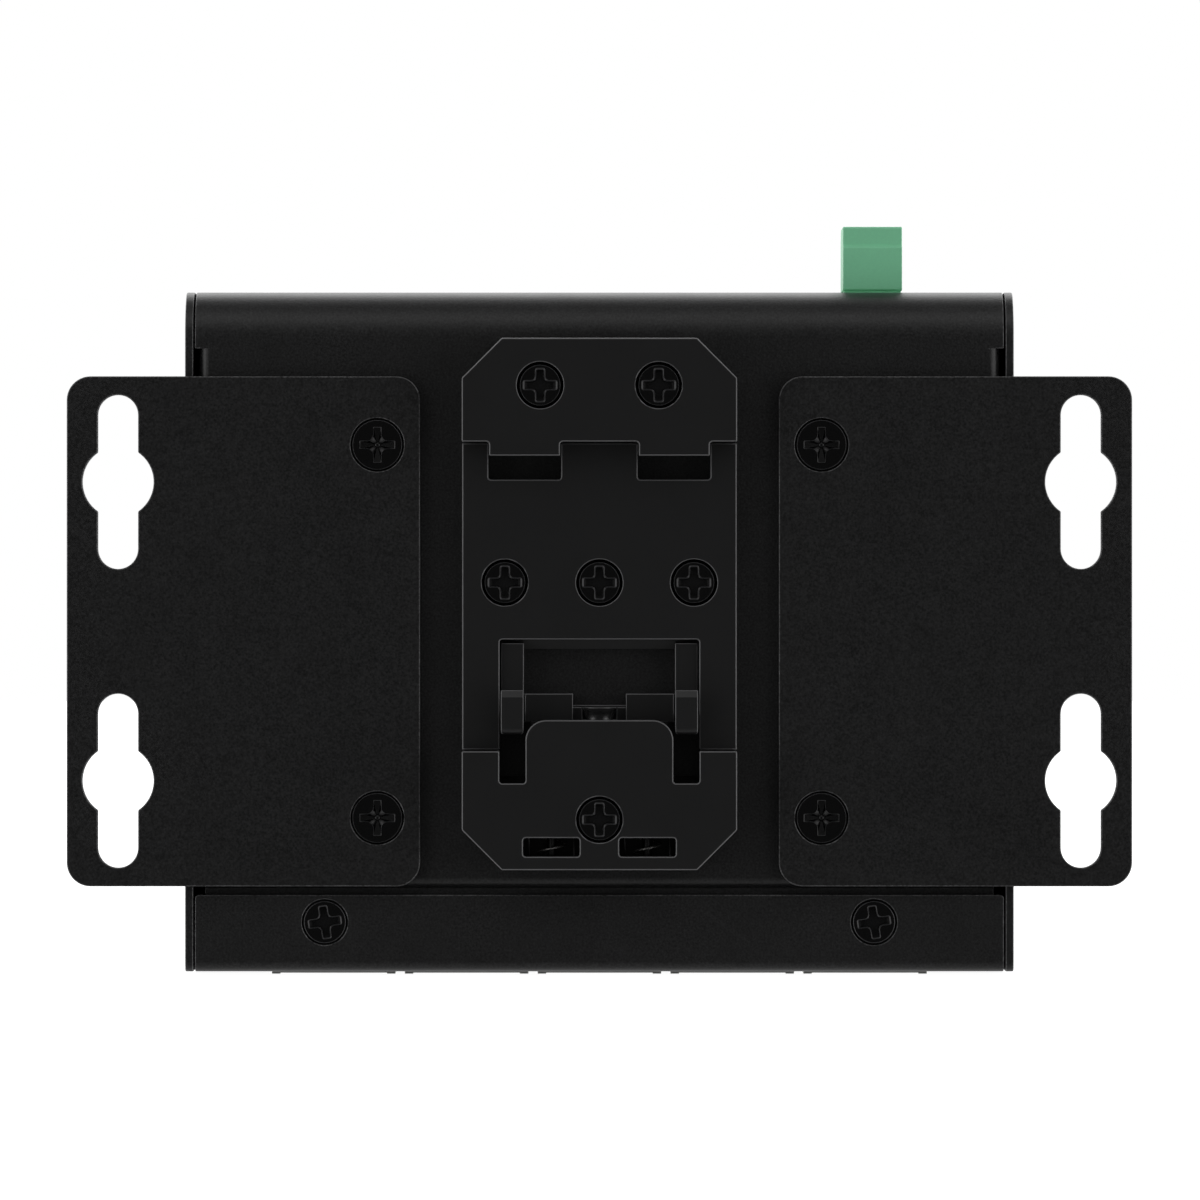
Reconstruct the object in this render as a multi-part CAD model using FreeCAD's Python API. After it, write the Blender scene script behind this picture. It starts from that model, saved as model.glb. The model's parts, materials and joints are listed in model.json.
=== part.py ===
"""Network switch for a 35 mm mounting rail, with five copper ports.

Frame: +Z is up as the switch hangs on its rail, +Y runs from the rail towards the
switch's face, and X is to the right for someone who looks at the mounting side.
z = 0 is the level of the port lips, x = 0 is the middle of the case, and y = 0 is
half way between the clip's outer side and the face. All sizes are in millimetres.
"""
import FreeCAD, Part
import math
import os

# Folded sheet case
case_width = 101.1
case_height = 83.05
case_depth = 28.0
sheet = 1.0
fold_radius = 0.4            # inner radius of a sharp fold
shoulder_radius = 5.7        # outer radius of the cover's large fold at the top
wall_seam = 0.2              # between a side wall and whatever lies between the walls
corner_relief = 0.6          # beyond a fold, where three folds meet
wall_foot_radius = 1.2       # lower back corner of a side wall
return_height = 9.4          # chassis flange on the back, from the port panel's face
return_corner = 0.5
top_return = 9.0             # chassis flange on top, from the face
groove = 1.5                 # between a chassis flange and the cover's panel
joggle_run = 0.7             # length in which the cover steps in by one sheet
joggle_radius = 0.3
ledge_reach = 6.6            # cover ledge behind a chassis flange
cover_flange_inset = 0.49
cover_flange_depth = 12.0
cover_notch = 7.0            # from the case's top to where the cover's flanges start
cover_flange_foot = 1.2      # from the back panel's lower edge up to the flanges
ledge_inset = 1.2            # lower ledge narrower than the cover, each side

# Plunged and tapped collars in the cover
thread_radius = 1.5
collar_wall = 0.8
collar_height = 1.1
thread_gap = 0.02            # between a screw and its thread or seat
clearance_hole_gap = 0.2     # between a screw and a plain hole, on radius

# Countersunk screws: seat and head radii, rim, recess arm length and width, recess depth
cover_seat_radius = 2.88
cover_head_radius = 2.72
cover_screw_length = 4.2
cover_arm_length = 3.9
cover_arm_width = 1.15
cover_screw_turn = 8.0       # degrees
ear_seat_radius = 3.42
ear_head_radius = 3.08
ear_screw_length = 4.6
ear_arm_length = 4.35
ear_arm_width = 1.0
clip_seat_radius = 3.0
clip_head_radius = 2.53
clip_arm_length = 4.2
clip_arm_width = 1.1
head_rim = 0.15
recess_depth = 1.15
recess_taper = 0.52          # arm length at the recess's floor, as a share of the top
screw_tail = 1.4             # thread that shows beyond a collar, for the clip's screws

# Wall brackets, called ears
ear_width = 43.05
ear_height = 62.15
ear_sheet = 1.5
ear_corner = 2.9
ear_overhang = 14.35         # beyond the case's side
ear_rise = 41.54             # middle of the ears, from the port panel's face
ear_screw_pitch = 45.46
ear_screw_inset = 5.22       # from the ear's inner edge
keyhole_pitch = 36.4
keyhole_inset = 6.24         # from the ear's outer edge
keyhole_radius = 4.35
slot_radius = 2.455
slot_length = 21.2
cover_screw_spread = 67.0
cover_screw_rise = 6.06      # from the port panel's face

# Rail clip: hook block above, plate in the middle, latch block below
clip_width = 33.4
hook_block_height = 12.58
clip_seam = 0.12             # between the plate and each block
clip_depth = 7.0
clip_base = 3.4              # thickness of the plate that the rail lies against
clip_corner = 4.85
clip_rise = 12.61            # clip's lower end, from the port panel's face
rail_width = 35.0
rail_squeeze = 2.0           # of the free latch's noses above the rail's lower edge
seat_rise = 18.95            # free latch's rail seat, from the clip's lower end
tab_reach = 1.7
tab_thickness = 2.2
tab_centre = 9.08
tab_width = 8.6
tab_root_radius = 0.4
hook_window_margin = 0.12
hook_window_drop = 4.55      # from the rail's upper seat
lower_block_top = 14.42      # from the clip's lower end, as the next heights are
tongue_top = 18.19
tongue_half_width = 8.97
tongue_corner = 2.5
slot_floor = 10.52
window_half_width = 12.13
window_corner = 0.35
upper_screw_drop = 5.73      # from the clip's upper end
upper_screw_spread = 14.38
middle_screw_rise = 34.87
middle_screw_spread = 23.0
lower_screw_rise = 6.11
screw_rib = 3.44             # rib round the lower screw, above its axis
gusset = 0.9                 # wedge at a slot's floor

# Latch slider, its stud, springs and pins
slide_gap = 0.18             # sides of the slider
face_gap = 0.2               # slider to the cover and to the roof over it
arm_drop = 0.45              # arms' upper end below the window's upper edge
latch_travel = 5.8
bar_thickness = 2.6          # arms and webs, measured from the cover
crossbar_thickness = 1.6
crossbar_height = 3.1
crossbar_show = 1.16         # crossbar below the window's upper edge
arm_width = 2.75
web_height = 3.45
web_rise = 2.4               # webs' upper edge above the latch's rail seat
web_drop = 6.59              # webs' upper edge below the window's upper edge
web_notch = 3.22             # half width
web_slit = 0.14              # between a web and its nose, in front only
web_slit_depth = 0.6
bridge_drop = 1.4            # bridge's upper edge below the webs'
bridge_step = 0.25           # its front part's upper edge below its back part's
bridge_back = 0.6            # thickness of the back part, behind the stud's head
bridge_front = 1.9           # thickness up to the front part's face
nose_height = 5.35
nose_overhang = 2.85
nose_recess = 0.3            # nose inside the clip's outer side
rail_slot = 1.5              # room for the rail's edge under the nose
nose_bevel = 0.85
nose_foot_radius = 0.8
nose_tip = 1.37              # flat end of the nose
nose_corner = 0.35
nose_root_radius = 0.3
gusset_gap = 0.2
leg_width = 5.0
leg_thickness = 3.9
leg_foot = 8.85              # legs' lower end, from the clip's lower end
chamber_floor = 0.94
chamber_roof = 2.7
stud_radius = 1.7
stud_head_radius = 2.28
stud_head_height = 0.95
stud_flare = 1.4             # radius of the hollow under the head
stud_seat_depth = 1.5        # of the room for the head in the bridge
stud_from_cover = 2.95       # to the stud's axis
seat_gap = 0.05              # round the head, on radius
bridge_height = 4.1
spring_spread = 11.64
spring_radius = 1.65         # to the middle of the wire
spring_wire = 0.3
spring_turns = 4.0
spring_sides = 8             # of the wire's section
spring_end_gap = 0.03
pin_radius = 0.575
pin_reach = 4.2              # above the chamber's floor
pin_socket_gap = 0.2
pin_socket_depth = 3.2
spring_window_height = 2.25
spring_window_rise = 1.64
spring_window_width = 6.85
spring_window_centre = 5.83

# Circuit board
board_thickness = 1.6
board_standoff = 4.0
board_side_gap = 0.46        # to the cover's side flanges
board_foot_gap = 0.8         # to the port panel
board_top_gap = 2.55         # to the cover's top panel
board_corner = 1.5
board_screw_inset = 3.9      # from the board's sides
board_screw_gap = 0.8        # lower screws' heads to the transformers' ends
board_screw_drop = 10.5      # upper screws, from the board's upper edge
board_screw_tip = 0.6         # from a screw's tip to the cover
standoff_floor = 0.4
pan_head_radius = 2.7
pan_head_height = 1.7
pan_head_chamfer = 0.6
standoff_radius = 2.6

# Ports
port_count = 5
port_pitch = 16.3
port_width = 15.2
port_height = 13.4
port_length = 21.3
port_lip = 0.5               # lips stand out of the port panel
port_panel_gap = 0.1
shield_wall = 0.25
shield_tab = 1.1
shield_step = 0.12           # middle of the near lip behind its end tabs
shield_strip = 3.0
insert_gap = 0.03
insert_recess = 0.6
socket_width = 11.9
socket_height = 6.9
socket_depth = 14.0
socket_floor = 3.6           # from the board
latch_way_width = 6.2
latch_way_height = 1.5
contact_count = 8
contact_pitch = 1.02
contact_width = 0.45
contact_thickness = 0.3
contact_lead = 2.0
contact_start = 3.5
contact_dip = 2.0
contact_knee = 11.0
transformer_size = (12.6, 5.6, 7.2)
transformer_gap = 4.0        # beyond the ports
transformer_round = 0.5

# Supply terminal
terminal_centre = 33.53
terminal_pitch = 3.5
header_width = 8.5
header_height = 7.2
header_length = 9.0
header_wall = 0.7
header_floor = 1.5
header_recess = 0.25         # rim below the case's top
top_cutout_gap = 0.3
plug_width = 7.25
plug_depth = 11.1
plug_length = 7.88           # above the case
plug_lift = 0.27             # plug's body above the case's top
plug_from_board = 0.5
plug_tongue_length = 6.2
plug_step_depth = 0.35
plug_step_length = 2.2
plug_slope = 1.6
plug_round = 0.3
plug_fit = 0.08
wire_well = (2.6, 3.9, 6.2)
cage_gap = 0.05
cage_wall = 0.4
cage_recess = 0.9
terminal_screw_radius = 1.25
terminal_screw_gap = 0.1
terminal_screw_sink = 1.0
terminal_slot = (0.5, 0.7)       # width and depth
pin_way_gap = 0.1
header_pin = 1.0
header_pin_rise = 7.2

# Parts on the board
chip_side = 14.0
chip_thickness = 1.4
chip_corner = 1.0
pad_size = (10.0, 12.0)
pad_from_collar = 3.7        # to the collar of the clip's middle screw
inductor_side = 10.0
inductor_height = 4.6
inductor_round = 1.2
inductor_place = (17.0, 12.0)    # to the right of the middle, and below the edge
capacitor_radius = 4.0
capacitor_length = 11.5
capacitor_chamfer = 0.4
capacitor_inset = 7.4        # from the board's right edge
capacitor_pitch = 10.0
capacitor_count = 2
capacitor_drop = 22.0
power_chip_size = (5.0, 1.6, 4.0)
power_chip_place = (18.0, 24.0)
crystal_size = (11.0, 3.4, 4.5)
crystal_place = (-18.0, 28.0)
light_count = 6
light_pitch = 5.0
light_size = (2.0, 0.9, 1.4)
light_drop = 14.0
light_inset = 7.4            # from the board's left edge
guide_radius = 1.2
guide_bar = (2.6, 3.2)       # thickness from the face panel and height
guide_air = 0.4
guide_fit = 0.05

# Places worked out from the sizes above
y_face = (case_depth + clip_depth) / 2
y_back = y_face - case_depth
y_clip = y_back - clip_depth
y_inside = y_back + sheet
z_port = port_lip
z_top = z_port + case_height
x_side = case_width / 2
x_between = x_side - sheet - wall_seam
fold_outer = fold_radius + sheet
z_return = z_port + return_height
z_panel = z_return + groove
y_top_return = y_face - top_return
y_top_panel = y_top_return - groove
y_board_back = y_inside + board_standoff
y_board = y_board_back + board_thickness
z_clip = z_port + clip_rise
z_ear = z_port + ear_rise
x_ear_outer = x_side + ear_overhang
x_ear_inner = x_ear_outer - ear_width
y_ear = y_back - ear_sheet
y_base = y_back - clip_base
y_slide = y_back - face_gap                      # slider's side that faces the cover
y_bar = y_slide - bar_thickness
y_leg = y_slide - leg_thickness
y_roof = y_clip + chamber_roof
y_spring = (y_roof + y_back) / 2
z_seat = z_clip + seat_rise
z_rail = z_seat - rail_squeeze + rail_width
z_clip_top = z_rail + hook_block_height
z_block = z_clip + lower_block_top
z_tongue = z_clip + tongue_top
z_slot = z_clip + slot_floor
z_web = z_seat + web_rise
z_window = z_web + web_drop
z_bridge = z_web - bridge_drop
z_head = z_bridge - bridge_step                  # top of the stud's head
z_stud_foot = z_bridge - bridge_height
y_stud = y_slide - stud_from_cover
z_chamber = z_clip + chamber_floor
z_leg = z_clip + leg_foot
z_cover_screw = z_port + cover_screw_rise
z_lower_screw = z_clip + lower_screw_rise
z_middle_screw = z_clip + middle_screw_rise
board_half_width = x_between - cover_flange_inset - sheet - board_side_gap
z_board_low = z_port + sheet + board_foot_gap
z_board_high = z_top - sheet - board_top_gap
z_transformer = port_length + transformer_gap
z_chip = z_middle_screw + thread_radius + collar_wall + pad_from_collar + pad_size[1] / 2
z_capacitor = z_board_high - capacitor_drop
z_light = z_board_high - light_drop


# Shapes

def vec(x, y, z):
    return FreeCAD.Vector(x, y, z)


def box(x0, x1, y0, y1, z0, z1):
    return Part.makeBox(x1 - x0, y1 - y0, z1 - z0, vec(x0, y0, z0))


def rod(radius, length, start, direction):
    return Part.makeCylinder(radius, length, start, direction)


def rounded_wire(corners, place):
    """Closed outline of lines and arcs. A corner is (a, b, radius), and place puts
    a point (a, b) of the outline in space."""
    count = len(corners)
    joints = []
    for i in range(count):
        a, b, radius = corners[i]
        before = corners[i - 1]
        after = corners[(i + 1) % count]
        to_before = unit(before[0] - a, before[1] - b)
        to_after = unit(after[0] - a, after[1] - b)
        if radius <= 0:
            joints.append(((a, b), None, (a, b)))
            continue
        cosine = to_before[0] * to_after[0] + to_before[1] * to_after[1]
        half = math.acos(max(-1.0, min(1.0, cosine))) / 2
        run = radius / math.tan(half)
        inward = unit(to_before[0] + to_after[0], to_before[1] + to_after[1])
        reach = radius / math.sin(half) - radius
        start = (a + to_before[0] * run, b + to_before[1] * run)
        end = (a + to_after[0] * run, b + to_after[1] * run)
        middle = (a + inward[0] * reach, b + inward[1] * reach)
        joints.append((start, middle, end))
    edges = []
    for i in range(count):
        start, middle, end = joints[i]
        if middle is not None:
            edges.append(Part.Arc(place(*start), place(*middle), place(*end)).toShape())
        following = joints[(i + 1) % count][0]
        if math.dist(end, following) > 1e-6:
            edges.append(Part.LineSegment(place(*end), place(*following)).toShape())
    return Part.Wire(edges)


def unit(a, b):
    length = math.hypot(a, b)
    return (a / length, b / length)


def prism(corners, axis, low, high):
    """Outline extruded from low to high along X, Y or Z. Its corners are given in
    the other two coordinates, in the order of the alphabet."""
    places = {
        "x": lambda a, b: vec(low, a, b),
        "y": lambda a, b: vec(a, low, b),
        "z": lambda a, b: vec(a, b, low),
    }
    ways = {"x": vec(high - low, 0, 0), "y": vec(0, high - low, 0), "z": vec(0, 0, high - low)}
    face = Part.Face(rounded_wire(corners, places[axis]))
    return face.extrude(ways[axis])


def rectangle(a0, a1, b0, b1, radius=0.0):
    return [(a0, b0, radius), (a1, b0, radius), (a1, b1, radius), (a0, b1, radius)]


def folded(path, side, thickness):
    """Section of a folded sheet. The path runs along one side of the sheet as
    (a, b, inner fold radius), and side is +1 where the sheet lies to its left."""
    ways = []
    for i in range(len(path) - 1):
        ways.append(unit(path[i + 1][0] - path[i][0], path[i + 1][1] - path[i][1]))
    near = []
    far = []
    for i, (a, b, radius) in enumerate(path):
        if i == 0 or i == len(path) - 1:
            way = ways[0] if i == 0 else ways[-1]
            near.append((a, b, 0))
            far.append((a - way[1] * side * thickness, b + way[0] * side * thickness, 0))
            continue
        before = ways[i - 1]
        after = ways[i]
        turn = before[0] * after[1] - before[1] * after[0]
        normal = unit(-(before[1] + after[1]), before[0] + after[0])
        cosine = -normal[0] * before[1] + normal[1] * before[0]
        reach = side * thickness / cosine
        inside = turn * side > 0
        near.append((a, b, radius + thickness if inside else radius))
        far.append((a + normal[0] * reach, b + normal[1] * reach,
                    radius if inside else radius + thickness))
    return near + far[::-1]


def mirrored(shape):
    return shape.mirror(vec(0, 0, 0), vec(1, 0, 0))


def both_sides(shape):
    return [shape, mirrored(shape)]


def join(shapes):
    return shapes[0].fuse(shapes[1:]).removeSplitter()


def round_edges(shape, radius, wanted):
    edges = [edge for edge in shape.Edges if wanted(edge)]
    return shape.makeFillet(radius, edges)


# Screws

def countersunk_screw(seat_radius, head_radius, length, arm_length, arm_width, turn=0.0):
    """Screw along +Y whose countersunk seat starts at y = 0."""
    depth = seat_radius - head_radius
    top = depth - head_rim
    cone = head_radius - thread_radius
    radius = head_radius - thread_gap
    shank_radius = thread_radius - thread_gap
    outline = [(0, top, 0), (radius, top, 0), (radius, depth, 0),
               (shank_radius, depth + cone, 0), (shank_radius, length, 0), (0, length, 0)]
    section = Part.Face(rounded_wire(outline, lambda a, b: vec(a, b, 0)))
    screw = section.revolve(vec(0, 0, 0), vec(0, 1, 0), 360)
    floor = arm_length * recess_taper / 2
    arm = [(-arm_length / 2, top, 0), (arm_length / 2, top, 0),
           (floor, top + recess_depth, 0), (-floor, top + recess_depth, 0)]
    blade = prism(arm, "z", -arm_width / 2, arm_width / 2)
    across = blade.copy()
    across.rotate(vec(0, 0, 0), vec(0, 1, 0), 90)
    recess = blade.fuse(across)
    screw = screw.cut(recess)
    screw.rotate(vec(0, 0, 0), vec(0, 1, 0), turn)
    return screw


def screw_hole(seat_radius, hole_radius, length):
    """What a countersunk screw along +Y takes out of the plates that it passes."""
    cone = Part.makeCone(seat_radius, hole_radius, seat_radius - hole_radius,
                         vec(0, 0, 0), vec(0, 1, 0))
    return cone.fuse(rod(hole_radius, length, vec(0, 0, 0), vec(0, 1, 0)))


def at(shape, places):
    copies = []
    for place in places:
        copy = shape.copy()
        copy.translate(vec(*place))
        copies.append(copy)
    return copies


def collar(x, z, y_sheet):
    """Plunged collar on a sheet's inner side, with its thread cut later."""
    return rod(thread_radius + collar_wall, collar_height, vec(x, y_sheet, z), vec(0, 1, 0))


def thread_hole(x, z, y_start, length):
    return rod(thread_radius, length, vec(x, y_start, z), vec(0, 1, 0))


cover_screw_places = [(-cover_screw_spread / 2, y_back, z_cover_screw),
                      (cover_screw_spread / 2, y_back, z_cover_screw)]
ear_screw_places = [(side * (x_ear_inner + ear_screw_inset), y_ear, z_ear + end * ear_screw_pitch / 2)
                    for side in (-1, 1) for end in (-1, 1)]
upper_screw_places = [(side * upper_screw_spread / 2, y_clip, z_clip_top - upper_screw_drop)
                      for side in (-1, 1)]
middle_screw_places = [(side * middle_screw_spread / 2, y_base, z_middle_screw) for side in (-1, 0, 1)]
lower_screw_places = [(0, y_clip, z_lower_screw)]


# Case

def port_centres():
    middle = (port_count - 1) / 2
    return [(i - middle) * port_pitch for i in range(port_count)]


def light_centres():
    return [light_inset - board_half_width + i * light_pitch for i in range(light_count)]


def front_chassis():
    """Folded tray: top flange, face, port panel, return flange and two side walls."""
    path = [(y_top_return, z_top, 0), (y_face, z_top, fold_radius),
            (y_face, z_port, fold_radius), (y_back, z_port, fold_radius), (y_back, z_return, 0)]
    middle = prism(folded(path, -1, sheet), "x", -x_between, x_between)
    middle = round_edges(middle, return_corner, lambda edge: (
        abs(edge.CenterOfMass.z - z_return) < 1e-3
        and abs(edge.CenterOfMass.y - (y_back + sheet / 2)) < 1e-3
        and abs(abs(edge.CenterOfMass.x) - x_between) < 1e-3))
    z_low = z_port + fold_outer + corner_relief
    z_high = z_top - fold_outer - corner_relief
    wall = prism([(y_back, z_port, wall_foot_radius), (y_face - fold_outer, z_port, 0),
                  (y_face - fold_outer, z_top, 0), (y_back, z_top, shoulder_radius)],
                 "x", x_side - sheet, x_side)
    bend_reach = fold_outer + wall_seam + sheet
    bend = prism(folded([(x_side, y_face - bend_reach, 0), (x_side, y_face, fold_radius),
                         (x_side - bend_reach, y_face, 0)], 1, sheet), "z", z_low, z_high)
    side = wall.fuse(bend)
    tray = join([middle, side, mirrored(side)])
    gap = port_panel_gap
    cuts = []
    for x in port_centres():
        cuts.append(box(x - port_width / 2 - gap, x + port_width / 2 + gap,
                        y_board - gap, y_board + port_height + gap,
                        z_port - sheet, z_port + 2 * sheet))
    for x in light_centres():
        cuts.append(rod(guide_radius + guide_fit, 3 * sheet, vec(x, y_face - 2 * sheet, z_light),
                        vec(0, 1, 0)))
    seat = screw_hole(cover_seat_radius, thread_radius + clearance_hole_gap, sheet)
    cuts += at(seat, cover_screw_places)
    return tray.cut(cuts)


def rear_cover():
    """Back panel, shoulder and top panel in one sheet. Each end is stepped in to lie
    behind a chassis flange, and side flanges stiffen the back below its notches."""
    path = [(y_inside, z_return - ledge_reach, 0), (y_inside, z_panel - joggle_run, joggle_radius),
            (y_back, z_panel, joggle_radius), (y_back, z_top, shoulder_radius - sheet),
            (y_top_panel, z_top, joggle_radius), (y_top_panel + joggle_run, z_top - sheet, joggle_radius),
            (y_top_return + ledge_reach, z_top - sheet, 0)]
    panel = prism(folded(path, -1, sheet), "x", -x_between, x_between)
    x_flange = x_between - cover_flange_inset
    z_notch = z_top - cover_notch
    z_foot = z_panel + cover_flange_foot
    far = 2 * fold_outer
    cuts = []
    for side in (-1, 1):
        low, high = sorted((side * (x_flange - fold_outer), side * (x_side + far)))
        cuts.append(box(low, high, y_back - far, y_back + far, z_foot, z_notch))
        low, high = sorted((side * (x_between - ledge_inset), side * (x_side + far)))
        cuts.append(box(low, high, y_back - far, y_back + far, z_port, z_foot))
    panel = panel.cut(cuts)
    reach = 2 * fold_outer
    flange = prism(folded([(x_flange, y_back + cover_flange_depth, 0), (x_flange, y_back, fold_radius),
                           (x_flange - reach, y_back, 0)], -1, sheet), "z", z_foot, z_notch)
    shapes = [panel] + both_sides(flange)
    for x, _, z in ear_screw_places + upper_screw_places + middle_screw_places + lower_screw_places:
        shapes.append(collar(x, z, y_inside))
    for x, _, z in cover_screw_places:
        shapes.append(collar(x, z, y_inside + sheet))
    cover = join(shapes)
    cuts = []
    depth = 3 * sheet + collar_height
    for x, _, z in ear_screw_places + upper_screw_places + middle_screw_places + lower_screw_places:
        cuts.append(thread_hole(x, z, y_back - sheet, depth))
    for x, _, z in cover_screw_places:
        cuts.append(thread_hole(x, z, y_inside - sheet, depth))
    cuts += at(screw_hole(cover_seat_radius, thread_radius, sheet), cover_screw_places)
    cuts += at(screw_hole(ear_seat_radius, thread_radius, ear_sheet), ear_screw_places)
    gap = top_cutout_gap
    cuts.append(box(terminal_centre - header_width / 2 - gap, terminal_centre + header_width / 2 + gap,
                    y_board - gap, y_board + header_height + gap, z_top - 2 * sheet, z_top + sheet))
    return cover.cut(cuts)


def ear():
    """Right hand wall bracket, with two keyholes that hang either way up."""
    low = z_ear - ear_height / 2
    high = z_ear + ear_height / 2
    plate = prism(rectangle(x_ear_inner, x_ear_outer, low, high, ear_corner), "y", y_ear, y_back)
    x_key = x_ear_outer - keyhole_inset
    cuts = []
    for end in (-1, 1):
        z_key = z_ear + end * keyhole_pitch / 2
        half = slot_length / 2
        cuts.append(prism(rectangle(x_key - slot_radius, x_key + slot_radius, z_key - half, z_key + half,
                                    slot_radius), "y", y_ear - sheet, y_back + sheet))
        cuts.append(rod(keyhole_radius, ear_sheet + 2 * sheet, vec(x_key, y_ear - sheet, z_key),
                        vec(0, 1, 0)))
    seat = screw_hole(ear_seat_radius, thread_radius + clearance_hole_gap, ear_sheet)
    cuts += at(seat, [place for place in ear_screw_places if place[0] > 0])
    return plate.cut(cuts)


# Clip

def block_outline(z_far, z_near):
    """Clip block seen from outside: square at z_near, with its corners cut off at z_far."""
    half = clip_width / 2
    cut = math.copysign(clip_corner, z_near - z_far)
    return [(-half, z_near, 0), (half, z_near, 0), (half, z_far + cut, 0),
            (half - clip_corner, z_far, 0), (-half + clip_corner, z_far, 0), (-half, z_far + cut, 0)]


def clip_hook_block():
    """Upper block of the clip, with two tabs that hook over the rail's upper edge."""
    block = prism(block_outline(z_clip_top, z_rail), "y", y_clip, y_back)
    left = tab_centre - tab_width / 2
    right = tab_centre + tab_width / 2
    root = 2 * tab_root_radius
    tab = prism([(left - root, z_rail + root, 0), (left - root, z_rail, 0), (left, z_rail, tab_root_radius),
                 (left, z_rail - tab_reach, 0), (right, z_rail - tab_reach, 0),
                 (right, z_rail, tab_root_radius), (right + root, z_rail, 0),
                 (right + root, z_rail + root, 0)], "y", y_clip, y_clip + tab_thickness)
    block = join([block] + both_sides(tab))
    hole = screw_hole(clip_seat_radius, thread_radius + clearance_hole_gap, clip_depth + sheet)
    return block.cut(at(hole, upper_screw_places))


def clip_plate():
    """Middle plate, which the rail lies against. Notches in its upper edge leave room
    behind the hook tabs, and the latch works in a window that is open below."""
    half = clip_width / 2
    plate = box(-half, half, y_base, y_back, z_block + clip_seam, z_rail - clip_seam)
    hook_half = tab_width / 2 + hook_window_margin
    z_notch = z_rail - hook_window_drop
    near = y_base - sheet
    far = y_back + sheet
    notch = prism([(tab_centre - hook_half, z_notch, window_corner),
                   (tab_centre + hook_half, z_notch, window_corner),
                   (tab_centre + hook_half, z_rail, 0), (tab_centre - hook_half, z_rail, 0)],
                  "y", near, far)
    window = prism([(-window_half_width, z_block, 0), (window_half_width, z_block, 0),
                    (window_half_width, z_window, window_corner),
                    (-window_half_width, z_window, window_corner)], "y", near, far)
    crossbar_pocket = box(-window_half_width, window_half_width,
                          y_slide - crossbar_thickness - face_gap, far, z_window - sheet,
                          z_window + crossbar_height - crossbar_show + face_gap)
    hole = screw_hole(clip_seat_radius, thread_radius + clearance_hole_gap, clip_base + sheet)
    return plate.cut([window, crossbar_pocket] + both_sides(notch) + at(hole, middle_screw_places))


def clip_latch_block():
    """Lower block of the clip. The latch's noses work in its slots, its tongue covers the
    latch's legs, and the pocket in its back holds the legs, the springs and their pins."""
    block = prism(block_outline(z_clip, z_block), "y", y_clip, y_back)
    tongue = prism([(-tongue_half_width, z_slot, 0), (tongue_half_width, z_slot, 0),
                    (tongue_half_width, z_tongue, tongue_corner),
                    (-tongue_half_width, z_tongue, tongue_corner)], "y", y_clip, y_back)
    far = y_back + sheet
    over = z_tongue + sheet
    slot = prism([(tongue_half_width, z_slot, window_corner), (window_half_width, z_slot, window_corner),
                  (window_half_width, over, 0), (tongue_half_width, over, 0)], "y", y_clip - sheet, far)
    block = join([block, tongue]).cut(both_sides(slot))
    chamber_half = leg_width / 2 + slide_gap
    chamber_x = spring_spread / 2
    chamber = box(chamber_x - chamber_half, chamber_x + chamber_half, y_roof, far, z_chamber, over)
    z_web_low = z_web - web_height - latch_travel - face_gap
    web_pocket = box(-window_half_width, window_half_width, y_bar - face_gap, far, z_web_low, over)
    bridge_pocket = box(-chamber_x, chamber_x, y_roof, far, z_lower_screw + screw_rib, over)
    z_stud_low = z_stud_foot - latch_travel - face_gap
    z_head_low = z_head - stud_seat_depth - latch_travel - face_gap
    stud_way = rod(stud_radius + face_gap, over - z_stud_low, vec(0, y_stud, z_stud_low), vec(0, 0, 1))
    head_way = rod(stud_head_radius + face_gap, over - z_head_low, vec(0, y_stud, z_head_low),
                   vec(0, 0, 1))
    z_spring_window = z_clip + spring_window_rise
    spring_window = prism(rectangle(spring_window_centre - spring_window_width / 2,
                                    spring_window_centre + spring_window_width / 2,
                                    z_spring_window, z_spring_window + spring_window_height,
                                    window_corner), "y", y_clip - sheet, y_roof + face_gap)
    pin_hole = rod(pin_radius + thread_gap, chamber_floor + 2 * sheet,
                   vec(chamber_x, y_spring, z_clip - sheet), vec(0, 0, 1))
    cuts = [web_pocket, bridge_pocket, stud_way, head_way]
    cuts += both_sides(chamber) + both_sides(spring_window) + both_sides(pin_hole)
    hole = screw_hole(clip_seat_radius, thread_radius + clearance_hole_gap, clip_depth + sheet)
    block = block.cut(cuts + at(hole, lower_screw_places))
    root = gusset + face_gap
    wedge = prism([(y_back - root, z_slot - face_gap, 0), (y_back, z_slot - face_gap, 0),
                   (y_back, z_slot + gusset, 0), (y_back - gusset, z_slot, 0), (y_back - root, z_slot, 0)],
                  "x", tongue_half_width, window_half_width)
    return join([block] + both_sides(wedge))


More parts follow.
